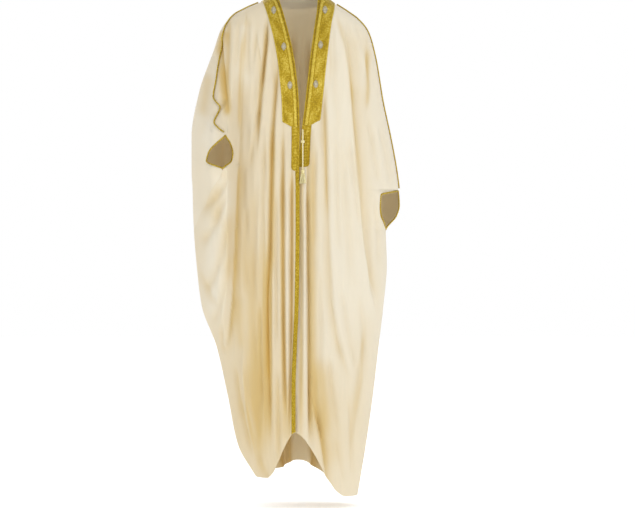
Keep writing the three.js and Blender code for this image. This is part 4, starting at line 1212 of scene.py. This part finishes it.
class BISHT_OT_motifs(bpy.types.Operator):
    """Make the silver motifs on the wide bands"""

    bl_idname = "bisht.motifs"
    bl_label = "Silver Motifs"

    def execute(self, context):
        silver = metal_thread_material(*THREADS["silver"])
        for side in (RIGHT, LEFT):
            for k, (x, z) in enumerate(MOTIF_PLACES[side], 1):
                motif = self.model_motif(context, f"silver_motif_{SIDE_NAMES[side]}_{k}")
                self.lay_on_band(motif, side, x, z)
                finish_piece(motif, silver, "silver_thread", f"motif_{SIDE_NAMES[side]}_{k}")
        return {"FINISHED"}

    def model_motif(self, context, name):
        """A flat rosette of eight petals round a raised middle, in mm, looking up +Z."""
        deselect()
        bpy.ops.mesh.primitive_circle_add(vertices=64, radius=1, fill_type="NGON", location=(0, 0, 0))
        motif = context.active_object
        motif.name = name
        bpy.ops.object.mode_set(mode="EDIT")
        bpy.ops.mesh.select_all(action="SELECT")
        for thickness, depth in MOTIF_STEPS:
            bpy.ops.mesh.inset(thickness=thickness, depth=depth)
        bpy.ops.object.mode_set(mode="OBJECT")
        edit = bmesh.new()
        edit.from_mesh(motif.data)
        for vertex in edit.verts:
            turn = math.atan2(vertex.co.y, vertex.co.x)
            reach = math.hypot(vertex.co.x, vertex.co.y)
            petals = 1 - 0.13 * (0.5 - 0.5 * math.cos(8 * turn)) * reach
            lobes = 1 - 0.04 * (1 - math.cos(4 * turn)) * reach
            vertex.co.x *= MOTIF_HALF[0] * petals * lobes
            vertex.co.y *= MOTIF_HALF[1] * petals * lobes
            if reach > 0.3:
                vertex.co.z += 0.18 * math.cos(16 * turn) * (vertex.co.z > 0.2)
        rim = [edge for edge in edit.edges if edge.is_boundary]
        skirt = bmesh.ops.extrude_edge_only(edit, edges=rim)
        for item in skirt["geom"]:
            if isinstance(item, bmesh.types.BMVert):
                item.co.z = MOTIF_SKIRT
        bmesh.ops.contextual_create(edit, geom=[e for e in edit.edges if e.is_boundary])
        bmesh.ops.recalc_face_normals(edit, faces=edit.faces)
        edit.to_mesh(motif.data)
        edit.free()
        motif.data.shade_smooth()
        return motif

    def lay_on_band(self, motif, side, x, z):
        """Lays a flat motif on the band: its own x and y become the front view's x and z."""
        places = np.array([v.co[:] for v in motif.data.vertices])
        angle, level = place_in_front(side, x + places[:, 0], z + places[:, 1])
        base, normals = cloth_face(side, angle, level)
        lift = SEAM_GAP + TRIM_THICKNESS + MOTIF_LIFT + places[:, 2]
        moved = (base + normals * lift[:, None]) * MM
        for vertex, place in zip(motif.data.vertices, moved):
            vertex.co = place
        # Tone: painted highlights, brighter on the motif's raised steps
        set_attribute(motif.data, "tone", np.clip(0.12 + places[:, 2] * 0.3, 0, 1))
        motif.data.update()


def resample(points, normals, step):
    """A line and its normals at even steps."""
    lengths = np.concatenate([[0], np.cumsum(np.linalg.norm(np.diff(points, axis=0), axis=-1))])
    count = max(4, int(lengths[-1] / step))
    places = np.linspace(0, lengths[-1], count + 1)
    line = np.stack([np.interp(places, lengths, points[:, k]) for k in range(3)], axis=-1)
    out = np.stack([np.interp(places, lengths, normals[:, k]) for k in range(3)], axis=-1)
    return line, unit(out), places


def roll_faces(count, sides, is_closed):
    """Faces round a roll of rings of points; a closed roll's last ring meets its first."""
    index = np.arange(count * sides).reshape(count, sides)
    first = index if is_closed else index[:-1]
    following = np.roll(index, -1, axis=0) if is_closed else index[1:]
    corners = [first, np.roll(first, -1, axis=1), np.roll(following, -1, axis=1), following]
    return np.stack(corners, axis=-1).reshape(-1, 4)


def build_roll(name, rings, tone, is_closed):
    """A roll of rings of points as a piece, with its ends filled."""
    faces = roll_faces(*rings.shape[:2], is_closed)
    piece = build_mesh(name, rings.reshape(-1, 3) * MM, faces, {"tone": tone})
    close_ends(piece)
    piece.data.shade_smooth()
    return piece


def scalloped_roll(name, route, settings, is_closed):
    """A thin roll of gold braid with small scallops along it."""
    line, out, places = route
    radius, pitch, sides = settings.piping_radius, settings.bead_pitch, PIPING_SIDES
    before = np.roll(line, 1, axis=0) if is_closed else np.vstack([line[:1], line[:-1]])
    after = np.roll(line, -1, axis=0) if is_closed else np.vstack([line[1:], line[-1:]])
    tangent = unit(after - before)
    out = unit(square_to(out, tangent))
    across = np.cross(tangent, out)
    angles = np.arange(sides)[None, :, None] / sides * 2 * math.pi
    scallop = np.abs(np.sin(math.pi * places / pitch))
    around = np.cos(angles) * out[:, None, :] + np.sin(angles) * across[:, None, :]
    rings = line[:, None, :] + radius * (0.78 + 0.3 * scallop)[:, None, None] * around
    # Tone: painted highlight on the crest of each scallop
    return build_roll(name, rings, np.repeat(0.16 + 0.3 * scallop, sides), is_closed)


def off_the_rim(points, normals, gap):
    """A closed rim moved off its edge, towards the middle of the opening."""
    before, after = (unit(np.roll(points, way, axis=0) - points) for way in (1, -1))
    corner = np.sin(np.arccos(np.clip((before * after).sum(axis=-1), -1, 1)) / 2)
    inwards = square_to(points.mean(axis=0) - points, unit(after - before))
    inwards = unit(square_to(inwards, normals))
    return points + inwards * (gap / np.maximum(LEAST_CORNER, corner))[:, None]


class BISHT_OT_piping(bpy.types.Operator):
    """Make the gold piping on the shoulder seams and round the cuffs"""

    bl_idname = "bisht.piping"
    bl_label = "Gold Piping"

    def execute(self, context):
        settings = context.scene.bisht_trim
        gold = metal_thread_material(*THREADS["gold"])
        for side in (RIGHT, LEFT):
            word = SIDE_NAMES[side]
            radius = settings.piping_radius
            route = resample(*self.shoulder_line(side, radius), PIPING_STEP)
            piece = scalloped_roll("gold_shoulder_piping_" + word, route, settings, False)
            finish_piece(piece, gold, "gold_thread", "shoulder_piping_" + word)
            line, out = self.cuff_line(side, radius)
            route = resample(np.vstack([line, line[:1]]), np.vstack([out, out[:1]]), PIPING_STEP)
            route = [part[:-1] for part in route]
            piece = scalloped_roll("gold_cuff_piping_" + word, route, settings, True)
            finish_piece(piece, gold, "gold_thread", "cuff_piping_" + word)
        return {"FINISHED"}

    def shoulder_line(self, side, radius):
        levels = np.append(np.arange(30, CUFFS[side][0][0] - 6, 4.0), CUFFS[side][0][0] - 4.5)
        angle = seam_angles(side, levels)[0]
        base, normals = cloth_face(side, angle, levels)
        return base + normals * (radius + PIPING_LIFT), normals

    def cuff_line(self, side, radius):
        ends = [row[0] for row in CUFFS[side]]
        steps = [np.linspace(a, b, 7)[:-1] for a, b in zip(ends[:-1], ends[1:])]
        levels = np.concatenate(steps + [ends[-1:]])
        _, front, rear = seam_angles(side, levels)
        angle = np.concatenate([front, rear[-2:0:-1]])
        base, normals = cloth_face(side, angle, np.concatenate([levels, levels[-2:0:-1]]))
        rim = base - normals * CLOTH_THICKNESS / 2
        return off_the_rim(rim, normals, radius + PIPING_LIFT), normals


def band_face_y(z):
    """y of the left lower band's face where the tie cord hangs."""
    angle, level = place_in_front(LEFT, CORD_X, z)
    return float(cloth_point(LEFT, angle, level)[..., 1]) - SEAM_GAP - CAD_BAND_THICKNESS


def cord_route():
    """The tie cord's route in mm: from the lower band, through the bead, to the tassel."""
    bead_y = band_face_y(BEAD["z"]) - BEAD["radius"] - BEAD["out"]
    tassel_y = band_face_y(TASSEL["top"]) - TASSEL_OUT
    top_y = band_face_y(CORD_TOP) - SEAM_GAP - CORD_RADIUS
    knots = [
        (CORD_TOP, top_y),
        ((CORD_TOP + BEAD["z"]) / 2, bead_y + CORD_SAG),
        (BEAD["z"], bead_y),
        ((BEAD["z"] + TASSEL["top"]) / 2, (bead_y + tassel_y) / 2),
        (TASSEL["top"], tassel_y),
    ]
    curve = Curve([-z for z, _ in knots], [y for _, y in knots])
    heights = np.linspace(CORD_TOP, TASSEL["top"], 32)
    return np.stack([np.full(32, float(CORD_X)), curve(-heights), heights], axis=-1)


class BISHT_OT_tie(bpy.types.Operator):
    bl_idname = "bisht.tie"
    bl_label = "Tie Cord And Tassel"

    def execute(self, context):
        settings = context.scene.bisht_trim
        silk = metal_thread_material(*THREADS["silk"])
        route = cord_route()
        cord = self.twisted_cord(route)
        finish_piece(cord, silk, "gold_thread", "tie_cord_upper", "tie_cord_lower")
        bead = self.bead(context, route)
        finish_piece(bead, silk, "gold_thread", "tie_bead")
        tassel = self.tassel(context, route[-1], settings)
        finish_piece(tassel, silk, "gold_thread", "tassel")
        return {"FINISHED"}

    def twisted_cord(self, route):
        """Two plies laid round each other."""
        line, _, places = resample(route, np.tile([0.0, -1.0, 0.0], (len(route), 1)), CORD_STEP)
        angles = np.arange(CORD_SIDES) / CORD_SIDES * 2 * math.pi
        lay = places[:, None] / CORD_TURN * 2 * math.pi
        share = 0.62 + 0.38 * np.abs(np.cos(angles - lay))
        around = [share * np.cos(angles), share * np.sin(angles), np.zeros_like(share)]
        rings = line[:, None, :] + CORD_RADIUS * np.stack(around, axis=-1)
        # Tone: painted shade in the grooves between the plies, lighter on their crests
        return build_roll("gold_tie_cord", rings, np.clip((share - 0.5) * 1.4, 0, 1), False)

    def bead(self, context, route):
        """A wrapped bead: a sphere drawn long, with grooves between its turns of thread."""
        deselect()
        place = route[np.argmin(np.abs(route[:, 2] - BEAD["z"]))]
        bpy.ops.mesh.primitive_uv_sphere_add(segments=28, ring_count=20, radius=BEAD["radius"] * MM)
        bead = context.active_object
        bead.name = "gold_tie_bead"
        for vertex in bead.data.vertices:
            turn = math.atan2(vertex.co.y, vertex.co.x)
            groove = 0.95 + 0.05 * math.cos(9 * turn + vertex.co.z / MM * 1.6)
            vertex.co.x = vertex.co.x * groove + place[0] * MM
            vertex.co.y = vertex.co.y * groove + place[1] * MM
            vertex.co.z = vertex.co.z * BEAD["height"] / 2 / BEAD["radius"] + BEAD["z"] * MM
        set_attribute(bead.data, "tone", [BEAD["tone"]] * len(bead.data.vertices))
        bead.data.shade_smooth()
        return bead

    def tassel(self, context, top, settings):
        """A wrapped head with a collar, and threads that spread below it."""
        deselect()
        bpy.ops.mesh.primitive_uv_sphere_add(segments=24, ring_count=16, radius=1)
        head = context.active_object
        head.name = "gold_tassel"
        high, radius = TASSEL["head_height"], TASSEL["head_radius"]
        for vertex in head.data.vertices:
            share = (1 - vertex.co.z) / 2
            waist = 1 - 0.26 * math.exp(-(((share - 0.72) / 0.1) ** 2))
            flare = max(math.sqrt(max(0, 1 - (1 - 2 * share) ** 2)), 0.9 * (share > 0.6))
            length = math.hypot(vertex.co.x, vertex.co.y) or 1
            ribs = 1 + 0.04 * math.cos(12 * math.atan2(vertex.co.y, vertex.co.x))
            if share >= 0.999 or share <= 0.001:
                vertex.co.x, vertex.co.y = 0, 0
            else:
                vertex.co.x *= radius * flare * waist * ribs / length
                vertex.co.y *= radius * flare * waist * ribs / length
            vertex.co.z = -share * high
            vertex.co = (vertex.co + Vector((top[0], top[1], TASSEL["top"]))) * MM
        strands = self.strand_meshes(top, settings.strands // (1))
        deselect()
        head.select_set(True)
        strands.select_set(True)
        context.view_layer.objects.active = head
        bpy.ops.object.join()
        places = np.array([v.co[:] for v in head.data.vertices])
        noise = np.sin(places[:, 0] * 9000) * np.cos(places[:, 1] * 7000)
        below = places[:, 2] / MM < TASSEL["top"] - high
        set_attribute(head.data, "tone", np.clip(0.4 + 0.2 * noise + 0.1 * below, 0, 1))
        head.data.shade_smooth()
        return head

    def strand_meshes(self, top, count):
        """Threads from the head's foot, bending outwards a little and ending unevenly."""
        high, end = TASSEL["head_height"], TASSEL["end"] - TASSEL["top"]
        steps, sides = STRAND["steps"], STRAND["sides"]
        index = np.arange(count)[:, None]
        turn = index * GOLDEN_ANGLE
        share = np.sqrt((index + 0.5) / count)
        uneven = 1.6 * np.sin(index * 2.7) - 0.8
        sway = 0.6 * np.sin(index * 1.9)
        t = np.linspace(0, 1, steps)
        across = share * (4 + (TASSEL["half_width"] - 4.6) * t**0.8) + sway * t * (1 - t) * 2
        deep = share * (4 + (TASSEL["half_depth"] - 4.6) * t)
        down = np.maximum(-high + 1 + (end - uneven + high - 2.5) * t, end)
        lines = np.stack([across * np.cos(turn), deep * np.sin(turn), down], axis=-1)
        radius = np.where(t < 1, STRAND["radius"], STRAND["end_radius"])[:, None]
        angles = turn[:, :, None] + np.arange(sides) * 2 * math.pi / sides
        around = [radius * np.cos(angles), radius * np.sin(angles), np.zeros((count, steps, sides))]
        points = lines[:, :, None, :] + np.stack(around, axis=-1) + (top[0], top[1], TASSEL["top"])
        faces = [roll_faces(steps, sides, False) + k * steps * sides for k in range(count)]
        piece = build_mesh("strands", points.reshape(-1, 3) * MM, np.concatenate(faces))
        close_ends(piece)
        return piece


OPERATORS = (
    BISHT_OT_stage,
    BISHT_OT_tie,
    BISHT_OT_cloth,
    BISHT_OT_bands,
    BISHT_OT_motifs,
    BISHT_OT_piping,
)


class BISHT_PT_panel(bpy.types.Panel):
    """Lists the sizes, the colours and the pieces"""

    bl_idname = "BISHT_PT_panel"
    bl_label = "Bisht"
    bl_space_type = "VIEW_3D"
    bl_region_type = "UI"
    bl_category = "Bisht"

    def draw(self, context):
        for group in (context.scene.bisht_cloth, context.scene.bisht_trim, context.scene.bisht_stage):
            for name in group.__annotations__:
                self.layout.prop(group, name)
        for operator in OPERATORS:
            self.layout.operator(operator.bl_idname)


GROUPS = {
    "bisht_cloth": BishtClothSettings,
    "bisht_trim": BishtTrimSettings,
    "bisht_stage": BishtStageSettings,
}


def register():
    for name, group in GROUPS.items():
        bpy.utils.register_class(group)
        setattr(bpy.types.Scene, name, bpy.props.PointerProperty(type=group))
    for operator in OPERATORS:
        bpy.utils.register_class(operator)
    bpy.utils.register_class(BISHT_PT_panel)


def unregister():
    bpy.utils.unregister_class(BISHT_PT_panel)
    for operator in reversed(OPERATORS):
        bpy.utils.unregister_class(operator)
    for name, group in GROUPS.items():
        delattr(bpy.types.Scene, name)
        bpy.utils.unregister_class(group)


def main():
    register()
    bpy.ops.bisht.stage()
    bpy.ops.bisht.tie()
    bpy.ops.bisht.cloth()
    bpy.ops.bisht.bands()
    bpy.ops.bisht.motifs()
    bpy.ops.bisht.piping()


if __name__ == "__main__":
    main()
